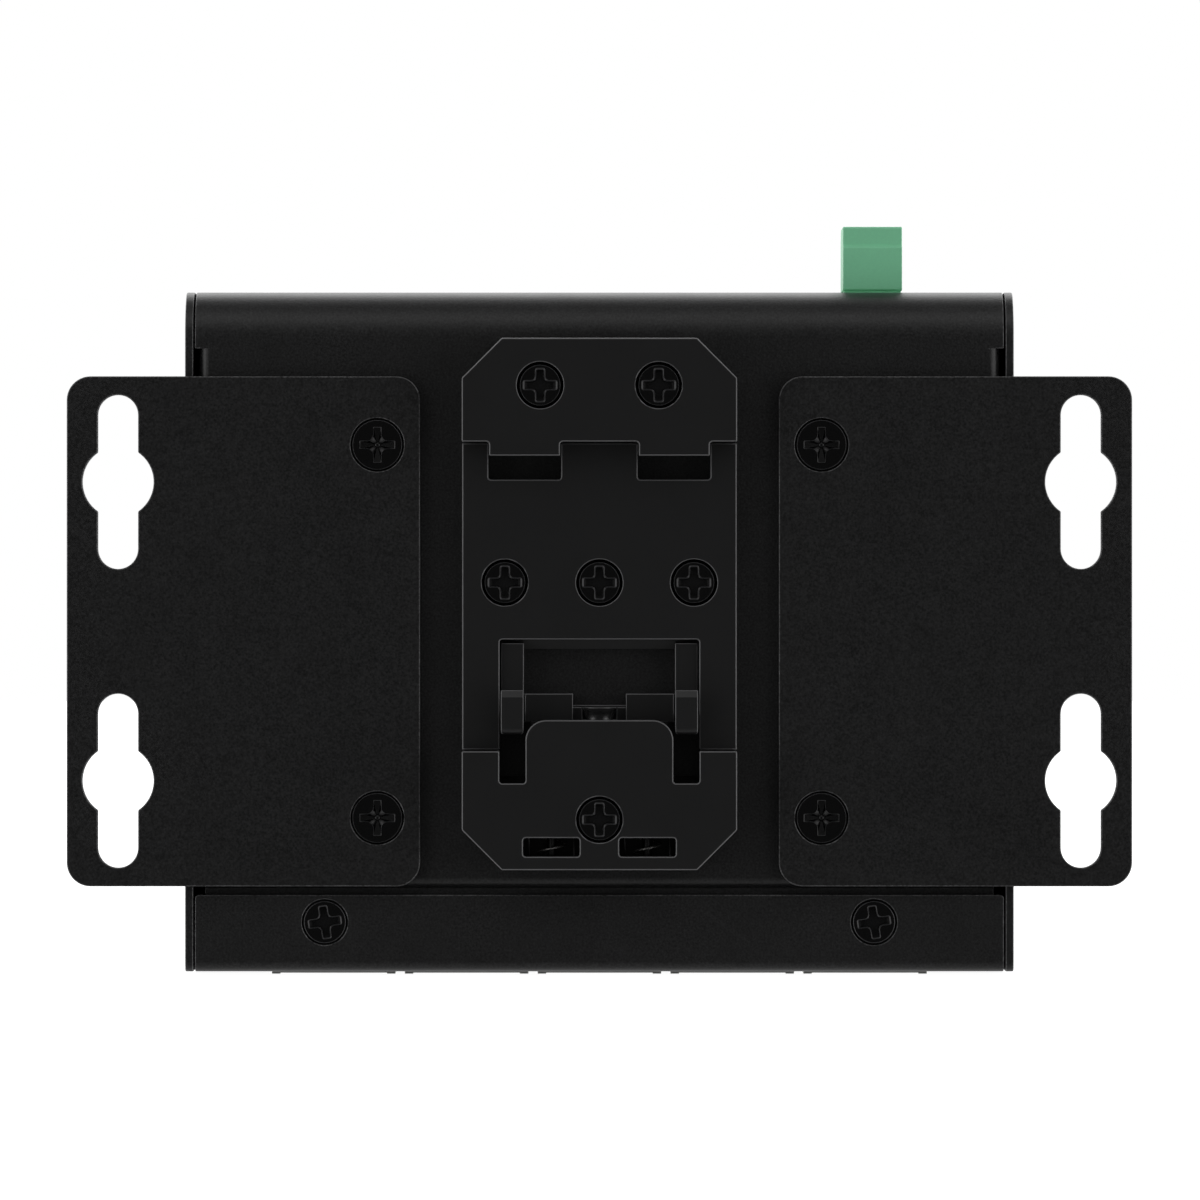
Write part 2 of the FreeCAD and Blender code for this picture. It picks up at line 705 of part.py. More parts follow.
def latch_slider():
    """Latch: a frame in the clip's window with two noses, and two legs that stand on
    the springs behind the tongue."""
    outer = window_half_width - slide_gap
    inner = outer - arm_width
    z_arm = z_window - arm_drop
    arm = box(inner, outer, y_bar, y_slide, z_web - 0.5, z_arm)
    z_cross = z_window - crossbar_show
    crossbar = box(-outer, outer, y_slide - crossbar_thickness, y_slide, z_cross,
                   z_cross + crossbar_height)
    web = box(web_notch, outer, y_bar, y_slide, z_web - web_height, z_web)
    y_nose = y_clip + nose_recess
    y_under = y_base - rail_slot
    z_nose = z_seat + nose_overhang
    z_foot = z_nose - nose_height
    shy = gusset + gusset_gap
    nose = prism([(y_slide, z_foot + shy, 0), (y_slide, z_seat, 0),
                  (y_under, z_seat, nose_root_radius), (y_under, z_nose, 0),
                  (y_under - nose_tip, z_nose, 0), (y_nose, z_nose - nose_bevel, 0),
                  (y_nose, z_foot, nose_foot_radius), (y_slide - shy, z_foot, 0)],
                 "x", inner, outer)
    nose = nose.common(prism([(inner, z_foot, nose_corner), (outer, z_foot, nose_corner),
                              (outer, z_nose, 0), (inner, z_nose, 0)], "y", y_nose, y_slide))
    leg_x = spring_spread / 2
    leg = box(leg_x - leg_width / 2, leg_x + leg_width / 2, y_leg, y_slide, z_leg,
              z_tongue - face_gap)
    leg_top = box(leg_x - leg_width / 2, leg_x + leg_width / 2, y_bar, y_slide, z_leg, z_web)
    bridge = box(-web_notch, web_notch, y_slide - bridge_front, y_slide, z_stud_foot, z_head)
    bridge_rear = box(-web_notch, web_notch, y_slide - bridge_back, y_slide, z_stud_foot, z_bridge)
    bridge_block = box(-web_notch, web_notch, y_leg, y_slide, z_stud_foot, z_tongue - face_gap)
    shapes = [crossbar, bridge, bridge_rear, bridge_block]
    for shape in (arm, web, nose, leg, leg_top):
        shapes += both_sides(shape)
    slider = join(shapes)
    socket = rod(pin_radius + pin_socket_gap, pin_socket_depth + 1, vec(leg_x, y_spring, z_leg - 1),
                 vec(0, 0, 1))
    bore = rod(stud_radius, bridge_height + 2, vec(0, y_stud, z_stud_foot - 1), vec(0, 0, 1))
    seat = rod(stud_head_radius + seat_gap, bridge_height, vec(0, y_stud, z_head - stud_seat_depth),
               vec(0, 0, 1))
    slit = box(inner - web_slit, inner, y_bar - sheet, y_bar + web_slit_depth, z_foot, z_web + sheet)
    return slider.cut(both_sides(socket) + both_sides(slit) + [bore, seat])


def latch_stud():
    """Turned guide stud with a flared head, pressed into the slider's bridge."""
    radius = stud_radius - thread_gap
    outline = [(0, z_stud_foot, 0), (radius, z_stud_foot, 0),
               (radius, z_head - stud_head_height, stud_flare),
               (stud_head_radius - thread_gap, z_head, 0), (0, z_head, 0)]
    section = Part.Face(rounded_wire(outline, lambda a, b: vec(a, y_stud, b)))
    return section.revolve(vec(0, y_stud, 0), vec(0, 0, 1), 360)


def latch_spring():
    """Right hand compression spring, as a wire on a helix."""
    height = z_leg - z_chamber - spring_wire - 2 * spring_end_gap
    helix = Part.makeHelix(height / spring_turns, height, spring_radius)
    wire = Part.Wire(helix.Edges)
    start = wire.Vertexes[0].Point
    share = 2 * math.pi / spring_sides
    reach = spring_wire / 2 * math.sqrt(share / math.sin(share))    # same area as a round wire's
    corners = [start + vec(reach * math.cos(i * share), 0, reach * math.sin(i * share))
               for i in range(spring_sides)]
    spring = wire.makePipeShell([Part.makePolygon(corners + corners[:1])], True, True)
    spring.translate(vec(spring_spread / 2, y_spring, z_chamber + spring_wire / 2 + spring_end_gap))
    return spring


def spring_pin():
    return rod(pin_radius, chamber_floor + pin_reach, vec(spring_spread / 2, y_spring, z_clip),
               vec(0, 0, 1))


# Circuit board and what holds it

board_screw_low = z_transformer + transformer_size[2] + board_screw_gap + pan_head_radius
board_screw_places = [(side * (board_half_width - board_screw_inset), y_board, z)
                      for side in (-1, 1) for z in (board_screw_low, z_board_high - board_screw_drop)]


def chamfer_rim(shape, width, y_rim):
    """Chamfers the round edge of a rod along Y that lies at y_rim."""
    return shape.makeChamfer(width, [edge for edge in shape.Edges if len(edge.Vertexes) == 1
                                     and abs(edge.CenterOfMass.y - y_rim) < 1e-3])


def circuit_board():
    board = prism(rectangle(-board_half_width, board_half_width, z_board_low, z_board_high, board_corner),
                  "y", y_board_back, y_board)
    holes = [rod(thread_radius + clearance_hole_gap, 2 * board_thickness, vec(x, y_board_back - 0.5, z),
                 vec(0, 1, 0)) for x, _, z in board_screw_places]
    return board.cut(holes)


def board_standoffs():
    post = rod(standoff_radius, board_standoff, vec(0, y_inside, 0), vec(0, 1, 0))
    post = post.cut(rod(thread_radius, board_standoff, vec(0, y_inside + standoff_floor, 0), vec(0, 1, 0)))
    return Part.makeCompound(at(post, [(x, 0, z) for x, _, z in board_screw_places]))


def board_screws():
    head = rod(pan_head_radius, pan_head_height, vec(0, y_board, 0), vec(0, 1, 0))
    head = chamfer_rim(head, pan_head_chamfer, y_board + pan_head_height)
    shank = rod(thread_radius - thread_gap, board_standoff + board_thickness - board_screw_tip,
                vec(0, y_board, 0), vec(0, -1, 0))
    screw = head.fuse(shank).removeSplitter()
    return Part.makeCompound(at(screw, [(x, 0, z) for x, _, z in board_screw_places]))


# Ports

def port_shield(x):
    """Folded tin shell: open at the mouth, and to the board except for a strip."""
    half = port_width / 2
    y_far = y_board + port_height
    shell = box(x - half, x + half, y_board, y_far, 0, port_length)
    wall = shield_wall
    hollow = box(x - half + wall, x + half - wall, y_board + wall, y_far - wall, -1, port_length - wall)
    open_side = box(x - half + wall, x + half - wall, y_board - 1, y_board + 2 * wall, shield_strip,
                    port_length - wall)
    step = box(x - half + shield_tab, x + half - shield_tab, y_board - 1, y_board + 2 * wall, -1,
               shield_step)
    return shell.cut([hollow, open_side, step])


def port_insert(x):
    """Moulded insert with the plug's socket and the way for its latch."""
    gap = shield_wall + insert_gap
    half = port_width / 2 - gap
    y_low = y_board + gap
    body = box(x - half, x + half, y_low, y_board + port_height - gap, insert_recess,
               port_length - gap)
    y_socket = y_board + socket_floor
    socket = box(x - socket_width / 2, x + socket_width / 2, y_socket, y_socket + socket_height,
                 insert_recess - 1, insert_recess + socket_depth)
    way = box(x - latch_way_width / 2, x + latch_way_width / 2, y_socket - latch_way_height,
              y_socket + 1, insert_recess - 1, insert_recess + socket_depth)
    return body.cut([socket, way])


def port_contacts(x):
    """Comb of sprung wires under the socket's far wall."""
    y_wall = y_board + socket_floor + socket_height
    z_mouth = insert_recess
    path = [(y_wall, z_mouth + contact_start - contact_lead, 0),
            (y_wall, z_mouth + contact_start, 0),
            (y_wall - contact_dip, z_mouth + contact_knee, 0),
            (y_wall - contact_dip, z_mouth + socket_depth, 0)]
    wire = prism(folded(path, 1, contact_thickness), "x", -contact_width / 2, contact_width / 2)
    middle = (contact_count - 1) / 2
    return Part.makeCompound(at(wire, [(x + (i - middle) * contact_pitch, 0, 0)
                                       for i in range(contact_count)]))


def port_transformer(x):
    wide, high, long = transformer_size
    block = box(x - wide / 2, x + wide / 2, y_board, y_board + high,
                z_transformer, z_transformer + long)
    return round_edges(block, transformer_round,
                       lambda edge: edge.CenterOfMass.y > y_board + high - 0.01)


# Supply terminal

terminal_ways = [terminal_centre - terminal_pitch / 2, terminal_centre + terminal_pitch / 2]


def terminal_header():
    z_rim = z_top - header_recess
    half = header_width / 2
    shell = box(terminal_centre - half, terminal_centre + half, y_board, y_board + header_height,
                z_rim - header_length, z_rim)
    wall = header_wall
    well = box(terminal_centre - half + wall, terminal_centre + half - wall, y_board + wall,
               y_board + header_height - wall, z_rim - header_length + header_floor, z_rim + 1)
    holes = [box(x - header_pin / 2, x + header_pin / 2, y_board + header_height / 2 - header_pin / 2,
                 y_board + header_height / 2 + header_pin / 2, z_rim - header_length - 1, z_rim)
             for x in terminal_ways]
    return shell.cut([well] + holes)


def header_pins():
    z_low = z_top - header_recess - header_length
    y_pin = y_board + header_height / 2
    half = header_pin / 2 - thread_gap
    return Part.makeCompound([box(x - half, x + half, y_pin - half, y_pin + half, z_low,
                                  z_low + header_pin_rise) for x in terminal_ways])


def terminal_plug():
    """Pluggable screw terminal: its tongue fills the header, and its wire wells face
    up, away from the case."""
    z_body = z_top + plug_lift
    z_end = z_body + plug_length
    y_near = y_board + plug_from_board
    y_far = y_near + plug_depth
    half = plug_width / 2
    step = plug_step_depth
    soft = plug_round
    outline = [(y_near, z_body, soft), (y_far, z_body, soft), (y_far, z_end - plug_step_length, soft),
               (y_far - plug_slope, z_end, soft), (y_near + step, z_end, soft),
               (y_near + step, z_end - plug_step_length, 0), (y_near, z_end - plug_step_length - step, 0)]
    body = prism(outline, "x", terminal_centre - half, terminal_centre + half)
    inner_half = header_width / 2 - header_wall - plug_fit
    y_tongue = y_board + header_wall + plug_fit
    tongue = box(terminal_centre - inner_half, terminal_centre + inner_half, y_tongue,
                 y_board + header_height - header_wall - plug_fit,
                 z_body - plug_tongue_length, z_body + header_wall)
    plug = join([body, tongue])
    wide, high, deep = wire_well
    cuts = []
    y_way = y_board + header_height / 2
    reach = header_pin / 2 + pin_way_gap
    for x in terminal_ways:
        cuts.append(box(x - wide / 2, x + wide / 2, y_way - high / 2, y_way + high / 2,
                        z_end - deep, z_end + 1))
        cuts.append(rod(terminal_screw_radius + terminal_screw_gap, plug_depth,
                        vec(x, y_way, z_end - deep / 2), vec(0, 1, 0)))
        cuts.append(box(x - reach, x + reach, y_way - reach, y_way + reach,
                        z_body - plug_tongue_length - 1, z_end - deep + 1))
    return plug.cut(cuts)


def plug_clamps():
    """Rising cages that grip the wires, one in each well."""
    wide, high, deep = wire_well
    z_end = z_top + plug_lift + plug_length
    y_way = y_board + header_height / 2
    cages = []
    for x in terminal_ways:
        half = wide / 2 - cage_gap
        tall = high / 2 - cage_gap
        cage = box(x - half, x + half, y_way - tall, y_way + tall, z_end - deep, z_end - cage_recess)
        hole = box(x - half + cage_wall, x + half - cage_wall, y_way - tall + cage_wall,
                   y_way + tall - cage_wall, z_end - deep - 1, z_end)
        cages.append(cage.cut(hole))
    return Part.makeCompound(cages)


def plug_screws():
    deep = wire_well[2]
    z_end = z_top + plug_lift + plug_length
    y_seat = y_board + header_height / 2 + wire_well[1] / 2
    y_head = y_board + plug_from_board + plug_depth - terminal_screw_sink
    slot_width, slot_deep = terminal_slot
    screws = []
    for x in terminal_ways:
        screw = rod(terminal_screw_radius, y_head - y_seat, vec(x, y_seat, z_end - deep / 2), vec(0, 1, 0))
        slot = box(x - terminal_screw_radius, x + terminal_screw_radius, y_head - slot_deep, y_head + 1,
                   z_end - deep / 2 - slot_width / 2, z_end - deep / 2 + slot_width / 2)
        screws.append(screw.cut(slot))
    return Part.makeCompound(screws)


# Parts on the board

def on_board(size, place):
    wide, high, long = size
    x, drop = place
    z = z_board_high - drop
    return box(x - wide / 2, x + wide / 2, y_board, y_board + high, z - long / 2, z + long / 2)


def switch_chip():
    """Flat package with a chamfered corner for its first pin."""
    half = chip_side / 2
    outline = [(-half, z_chip - half, 0), (half, z_chip - half, 0), (half, z_chip + half, 0),
               (-half + chip_corner, z_chip + half, 0),
               (-half, z_chip + half - chip_corner, 0)]
    return prism(outline, "y", y_board, y_board + chip_thickness)


def thermal_pad():
    wide, long = pad_size
    return box(-wide / 2, wide / 2, y_inside, y_board_back, z_chip - long / 2, z_chip + long / 2)


def power_inductor():
    block = on_board((inductor_side, inductor_height, inductor_side), inductor_place)
    return round_edges(block, inductor_round,
                       lambda edge: abs(edge.CenterOfMass.y - y_board - inductor_height / 2) < 0.01)


def power_capacitors():
    cans = []
    for i in range(capacitor_count):
        x = board_half_width - capacitor_inset - i * capacitor_pitch
        can = rod(capacitor_radius, capacitor_length, vec(x, y_board, z_capacitor), vec(0, 1, 0))
        cans.append(chamfer_rim(can, capacitor_chamfer, y_board + capacitor_length))
    return Part.makeCompound(cans)


def status_lights():
    return Part.makeCompound([on_board(light_size, (x, light_drop)) for x in light_centres()])


def light_guide():
    """Clear comb: one pipe from above each light to the face's outer side, joined by
    a bar that lies against the face panel."""
    y_low = y_board + light_size[1] + guide_air
    thick, high = guide_bar
    ends = light_centres()
    bar = box(ends[0] - high / 2, ends[-1] + high / 2, y_face - sheet - thick, y_face - sheet,
              z_light - high / 2, z_light + high / 2)
    pipes = [rod(guide_radius, y_face - y_low, vec(x, y_low, z_light), vec(0, 1, 0)) for x in ends]
    return join([bar] + pipes)


# Output

def export(name, shape):
    if not shape.isValid():
        raise ValueError(name + " is not a valid shape")
    shape.exportStep(os.path.join("parts", name + ".step"))
    print(name, "solids", len(shape.Solids), "volume", round(shape.Volume, 2))


def main():
    os.makedirs("parts", exist_ok=True)
    export("front_chassis", front_chassis())
    export("rear_cover", rear_cover())
    bracket = ear()
    export("bracket_right", bracket)
    export("bracket_left", mirrored(bracket))
    ear_screw = countersunk_screw(ear_seat_radius, ear_head_radius, ear_screw_length,
                                  ear_arm_length, ear_arm_width)
    export("bracket_screws", Part.makeCompound(at(ear_screw, ear_screw_places)))
    cover_screw = countersunk_screw(cover_seat_radius, cover_head_radius, cover_screw_length,
                                    cover_arm_length, cover_arm_width, cover_screw_turn)
    export("cover_screws", Part.makeCompound(at(cover_screw, cover_screw_places)))
    export("clip_hook_block", clip_hook_block())
    export("clip_plate", clip_plate())
    export("clip_latch_block", clip_latch_block())
    reach = sheet + collar_height + screw_tail
    long_screw = countersunk_screw(clip_seat_radius, clip_head_radius, clip_depth + reach,
                                   clip_arm_length, clip_arm_width)
    short_screw = countersunk_screw(clip_seat_radius, clip_head_radius, clip_base + reach,
                                    clip_arm_length, clip_arm_width)
    export("clip_top_screws", Part.makeCompound(at(long_screw, upper_screw_places)))
    export("clip_middle_screws", Part.makeCompound(at(short_screw, middle_screw_places)))
    export("clip_bottom_screw", at(long_screw, lower_screw_places)[0])
    export("latch_slider", latch_slider())
    export("latch_stud", latch_stud())
    spring = latch_spring()
    export("latch_spring_right", spring)
    export("latch_spring_left", at(spring, [(-spring_spread, 0, 0)])[0])
    pin = spring_pin()
    export("spring_pin_right", pin)
    export("spring_pin_left", mirrored(pin))
    export("circuit_board", circuit_board())
    export("board_standoffs", board_standoffs())
    export("board_screws", board_screws())
    for number, x in enumerate(port_centres(), 1):
        export(f"port_shield_{number}", port_shield(x))
        export(f"port_insert_{number}", port_insert(x))
        export(f"port_contacts_{number}", port_contacts(x))
        export(f"port_transformer_{number}", port_transformer(x))
    export("terminal_header", terminal_header())
    export("header_pins", header_pins())
    export("terminal_plug", terminal_plug())
    export("plug_clamps", plug_clamps())
    export("plug_screws", plug_screws())
    export("switch_chip", switch_chip())
    export("thermal_pad", thermal_pad())
    export("power_inductor", power_inductor())
    export("power_capacitors", power_capacitors())
    export("power_chip", on_board(power_chip_size, power_chip_place))
    export("crystal", on_board(crystal_size, crystal_place))
    export("status_lights", status_lights())
    export("light_guide", light_guide())


main()
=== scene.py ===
# %% [markdown]
# # A rail mounted network switch, seen from its mounting side
#
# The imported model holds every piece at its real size. This lesson gives the pieces their looks:
# soft metal edges, powder coat, cast paint, cross-recess screws and wound springs. Then it sets
# up a white studio and a camera that stands where the real one stood.
#
# The model's axes: +Z is up, the camera looks along +Y at the mounting side, and +X is to the
# right. All lengths are in metres, so small sizes are written in millimetres times MM.

# %% Load the fixed frame
import json
import math

import bmesh
import bpy
from mathutils import Matrix, Vector


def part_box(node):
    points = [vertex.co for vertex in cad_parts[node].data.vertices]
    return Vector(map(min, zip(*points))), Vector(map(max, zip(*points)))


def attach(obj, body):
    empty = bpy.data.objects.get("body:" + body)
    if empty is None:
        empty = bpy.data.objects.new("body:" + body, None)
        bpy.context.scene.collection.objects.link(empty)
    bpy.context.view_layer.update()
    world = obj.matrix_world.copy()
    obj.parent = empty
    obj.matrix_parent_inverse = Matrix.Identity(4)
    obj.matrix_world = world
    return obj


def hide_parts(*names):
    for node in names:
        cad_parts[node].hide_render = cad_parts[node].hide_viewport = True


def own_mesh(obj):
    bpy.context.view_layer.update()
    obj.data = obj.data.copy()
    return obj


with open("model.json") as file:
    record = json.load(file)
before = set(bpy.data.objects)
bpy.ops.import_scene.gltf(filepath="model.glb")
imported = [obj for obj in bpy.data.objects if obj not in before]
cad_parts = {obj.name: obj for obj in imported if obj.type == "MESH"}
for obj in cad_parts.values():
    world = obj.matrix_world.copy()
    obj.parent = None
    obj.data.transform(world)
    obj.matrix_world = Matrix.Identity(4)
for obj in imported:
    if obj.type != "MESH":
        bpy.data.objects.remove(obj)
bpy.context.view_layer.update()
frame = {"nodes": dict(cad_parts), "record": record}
NODES = frame["nodes"]
MM = 0.001

# %% [markdown]
# ## The camera
#
# The photograph is a long-lens product picture: the side walls can hardly be seen, so the camera
# stands far away. From the shift between the clip's outer side and the case behind it, it is
# 1.1 m from the clip and level with the middle of the brackets. The width of the picture at the
# clip's outer side then gives the lens.

# %% Camera
SENSOR = 36.0
VIEW_WIDTH = 145.45 * MM
VIEW_DISTANCE = 1.1
VIEW_HEIGHT = 45.86 * MM
VIEW_SHIFT = 0.07 * MM

clip_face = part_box("clip_hook_block")[0].y
camera = bpy.data.objects.new("camera", bpy.data.cameras.new("camera"))
bpy.context.scene.collection.objects.link(camera)
camera.data.sensor_width = SENSOR
camera.data.lens = SENSOR * VIEW_DISTANCE / VIEW_WIDTH
camera.data.clip_start = 0.05
camera.data.clip_end = 50.0
camera.location = (VIEW_SHIFT, clip_face - VIEW_DISTANCE, VIEW_HEIGHT)
camera.rotation_euler = (math.radians(90), 0, 0)
bpy.context.scene.camera = camera
print("lens", round(camera.data.lens, 1), "mm")

# %% [markdown]
# ## Node helpers
#
# Materials here are built from nodes. Two small helpers keep that short: one adds a node with its
# settings, and one joins two sockets. A third makes the frame of a node group, which is an effect
# that several materials share.

# %% Node helpers
def add(tree, kind, **settings):
    """A node in the tree. A setting is a property, or the value of an unlinked input."""
    node = tree.nodes.new("ShaderNode" + kind)
    for key, value in settings.items():
        if hasattr(node, key):
            setattr(node, key, value)
        else:
            node.inputs[key.replace("_", " ")].default_value = value
    return node


def join(tree, *pairs):
    for output, target in pairs:
        tree.links.new(output, target)


def math_node(tree, operation, first, second=None):
    """A Math node. Its operands are sockets or numbers."""
    node = tree.nodes.new("ShaderNodeMath")
    node.operation = operation
    for socket, value in zip(node.inputs, (first, second)):
        if value is None:
            continue
        if isinstance(value, (int, float)):
            socket.default_value = value
        else:
            tree.links.new(value, socket)
    return node.outputs[0]


def remap(tree, value, low, high, new_low, new_high):
    """Maps low..high of a value to new_low..new_high, smoothly."""
    node = tree.nodes.new("ShaderNodeMapRange")
    node.interpolation_type = "SMOOTHSTEP"
    tree.links.new(value, node.inputs["Value"])
    for name, number in zip(("From Min", "From Max", "To Min", "To Max"),
                            (low, high, new_low, new_high)):
        node.inputs[name].default_value = number
    return node.outputs["Result"]


def new_group(name, inputs, outputs):
    """A node group with named inputs, each with its default, and named outputs."""
    group = bpy.data.node_groups.new(name, "ShaderNodeTree")
    for label, value in inputs.items():
        kind = "NodeSocketFloat" if isinstance(value, (int, float)) else "NodeSocketColor"
        socket = group.interface.new_socket(label, in_out="INPUT", socket_type=kind)
        socket.default_value = value
    for label, kind in outputs.items():
        group.interface.new_socket(label, in_out="OUTPUT", socket_type="NodeSocket" + kind)
    return group, group.nodes.new("NodeGroupInput"), group.nodes.new("NodeGroupOutput")


# %% [markdown]
# ## The studio
#
# The picture is cut out on pure white, and yet the black faces are very dark. So the light comes
# from the sides, from above and from behind, and hardly any comes from where the camera stands.
# A world shader does this. It takes the angle between a direction and the camera's side, and one
# curve each for the sides, for above and for below says how bright the studio is there. Rays from
# the camera itself see plain white.

# %% World
ABOVE = ((0.0, 0.075), (0.1, 0.08), (0.2, 0.3), (0.29, 0.8), (0.36, 0.5), (0.45, 0.1),
         (0.57, 0.3), (0.67, 1.25), (0.78, 2.5), (0.88, 1.6), (1.0, 0.6))
BESIDE = ((0.0, 0.07), (0.15, 0.07), (0.2, 0.25), (0.25, 1.2), (0.3, 1.6), (0.42, 1.3), (0.6, 1.9),
          (0.75, 1.9), (0.88, 1.4), (1.0, 0.6))
BELOW = ((0.0, 0.075), (0.1, 0.085), (0.3, 0.25), (0.5, 0.5), (0.7, 0.75), (1.0, 0.6))
CURVE_TOP = 3.0
HORIZON = 0.25                       # half the height of the soft change from below to above
NEVER_ZERO = 1e-6


def brightness_curve(tree, angle, points):
    """Float curve through the points, each an angle as a share of a half turn and a brightness."""
    node = tree.nodes.new("ShaderNodeFloatCurve")
    curve = node.mapping.curves[0]
    while len(curve.points) < len(points):
        curve.points.new(0.5, 0.5)
    for point, (x, y) in zip(curve.points, points):
        point.location = (x, y / CURVE_TOP)
    node.mapping.update()
    tree.links.new(angle, node.inputs["Value"])
    return math_node(tree, "MULTIPLY", node.outputs[0], CURVE_TOP)


def blend_values(tree, share, first, second):
    """The first value where the share is 0, and the second one where it is 1."""
    node = add(tree, "Mix", data_type="FLOAT")
    join(tree, (share, node.inputs[0]), (first, node.inputs[2]), (second, node.inputs[3]))
    return node.outputs[0]


# %% Sky of the studio
def build_world():
    world = bpy.data.worlds.new("white_studio")
    bpy.context.scene.world = world
    world.use_nodes = True
    tree = world.node_tree
    tree.nodes.clear()
    where = add(tree, "TexCoord")
    parts = add(tree, "SeparateXYZ")
    join(tree, (where.outputs["Generated"], parts.inputs[0]))
    x, y, z = parts.outputs
    to_camera = math_node(tree, "MULTIPLY", y, -1.0)
    angle = math_node(tree, "DIVIDE", math_node(tree, "ARCCOSINE", to_camera), math.pi)
    across = math_node(tree, "MULTIPLY", x, x)
    upright = math_node(tree, "MULTIPLY", z, z)
    whole = math_node(tree, "ADD", math_node(tree, "ADD", across, upright), NEVER_ZERO)
    sideways = math_node(tree, "DIVIDE", across, whole)
    up = remap(tree, z, -HORIZON, HORIZON, 0.0, 1.0)
    above, beside, below = (brightness_curve(tree, angle, points) for points in (ABOVE, BESIDE, BELOW))
    vertical = blend_values(tree, up, below, above)
    level = blend_values(tree, sideways, vertical, beside)
    light = add(tree, "Background", Color=(1.0, 1.0, 1.0, 1.0))
    join(tree, (level, light.inputs["Strength"]))
    white = add(tree, "Background", Color=(1.0, 1.0, 1.0, 1.0), Strength=1.0)
    path = add(tree, "LightPath")
    mix = add(tree, "MixShader")
    out = add(tree, "OutputWorld")
    join(tree, (path.outputs["Is Camera Ray"], mix.inputs[0]), (light.outputs[0], mix.inputs[1]),
         (white.outputs[0], mix.inputs[2]), (mix.outputs[0], out.inputs[0]))


build_world()
bpy.context.scene.view_settings.view_transform = "Standard"
print("curve points", len(ABOVE), len(BESIDE), len(BELOW))

# %% [markdown]
# ## The floor
#
# The switch stands on its port lips on a plain white floor. The floor glows a little less than
# white and takes light too, so that all that is left of a shadow is a breath of grey where the
# case nearly touches it. It doesn't light the switch: the world's lower half does that.

# %% Floor
FLOOR_GLOW = 0.95
PAPER_TONE = 0.5
FLOOR_SIDE = 3.0


def build_floor():
    bm = bmesh.new()
    bmesh.ops.create_grid(bm, x_segments=1, y_segments=1, size=FLOOR_SIDE)
    mesh = bpy.data.meshes.new("floor")
    bm.to_mesh(mesh)
    bm.free()
    floor = bpy.data.objects.new("floor", mesh)
    bpy.context.scene.collection.objects.link(floor)
    material = bpy.data.materials.new("white_floor")
    material.use_nodes = True
    tree = material.node_tree
    tree.nodes.clear()
    glow = add(tree, "Emission", Color=(1.0, 1.0, 1.0, 1.0), Strength=FLOOR_GLOW)
    paper = add(tree, "BsdfDiffuse", Color=(PAPER_TONE, PAPER_TONE, PAPER_TONE, 1.0))
    both = add(tree, "AddShader")
    out = add(tree, "OutputMaterial")
    join(tree, (glow.outputs[0], both.inputs[0]), (paper.outputs[0], both.inputs[1]),
         (both.outputs[0], out.inputs[0]))
    mesh.materials.append(material)
    floor.visible_diffuse = False
    floor.visible_glossy = False
    floor.visible_transmission = False
    floor.visible_shadow = False


build_floor()
print("floor", FLOOR_SIDE, "m to each side")

# %% [markdown]
# ## Shared effects
#
# Four effects come back in several finishes. **Grain** is the fine speckle of powder coat or
# cast paint: noise of a given size, as a height and as a lighter or darker tone. **Cloud** is the
# large uneven tone of a coated sheet. **Scuffs** are a few thin scratches: stretched noise whose
# narrow peaks are kept. **Edge** is a painted highlight along the corners: the rounded faces of
# each piece carry an attribute that says so, and it makes their tone paler, in place of more of the
# bright line that light draws along a rounded edge. Each is a node group, built once and set to its
# own values per finish.

# %% Grain
NOISE_SHARE = 0.6                    # of the height of a grain
DOME_SHARE = 0.4
DOME_FINENESS = 0.8                  # beside the noise


def object_point(tree):
    return add(tree, "TexCoord").outputs["Object"]


def grain_group():
    group, given, put = new_group("grain", {"Size": 0.15, "Tone": 0.1},
                                  {"Height": "Float", "Tone": "Float"})
    scale = math_node(group, "DIVIDE", 1.0 / MM, given.outputs["Size"])
    fine = add(group, "TexNoise", Detail=2.0, Roughness=0.6)
    soft = add(group, "TexVoronoi", feature="SMOOTH_F1", Smoothness=0.6)
    point = object_point(group)
    join(group, (point, fine.inputs["Vector"]), (scale, fine.inputs["Scale"]),
         (point, soft.inputs["Vector"]))
    join(group, (math_node(group, "MULTIPLY", scale, DOME_FINENESS), soft.inputs["Scale"]))
    dome = math_node(group, "SUBTRACT", 1.0, soft.outputs["Distance"])
    height = math_node(group, "ADD", math_node(group, "MULTIPLY", fine.outputs[0], NOISE_SHARE),
                       math_node(group, "MULTIPLY", dome, DOME_SHARE))
    centred = math_node(group, "SUBTRACT", fine.outputs[0], 0.5)
    tone = math_node(group, "ADD", 1.0, math_node(group, "MULTIPLY", centred, given.outputs["Tone"]))
    join(group, (height, put.inputs["Height"]), (tone, put.inputs["Tone"]))
    return group


# %% Cloud
def cloud_group():
    group, given, put = new_group("cloud", {"Size": 12.0, "Amount": 0.1}, {"Value": "Float"})
    scale = math_node(group, "DIVIDE", 1.0 / MM, given.outputs["Size"])
    noise = add(group, "TexNoise", Detail=5.0, Roughness=0.62, Distortion=0.4)
    join(group, (object_point(group), noise.inputs["Vector"]), (scale, noise.inputs["Scale"]))
    centred = math_node(group, "SUBTRACT", noise.outputs[0], 0.5)
    value = math_node(group, "ADD", 1.0, math_node(group, "MULTIPLY", centred, given.outputs["Amount"]))
    join(group, (value, put.inputs["Value"]))
    return group


# %% Scuffs
SCRATCH_WAYS = ((0.6, 14.0), (-0.9, 20.0))   # turn in radians and stretch of two sets of lines
SCRATCH_FINENESS = 6.0
SCRATCH_PEAK = (0.74, 0.78)          # only the noise's peaks are lines
PATCH_FINENESS = 0.3
PATCH_PEAK = (0.5, 0.65)             # and only inside patches


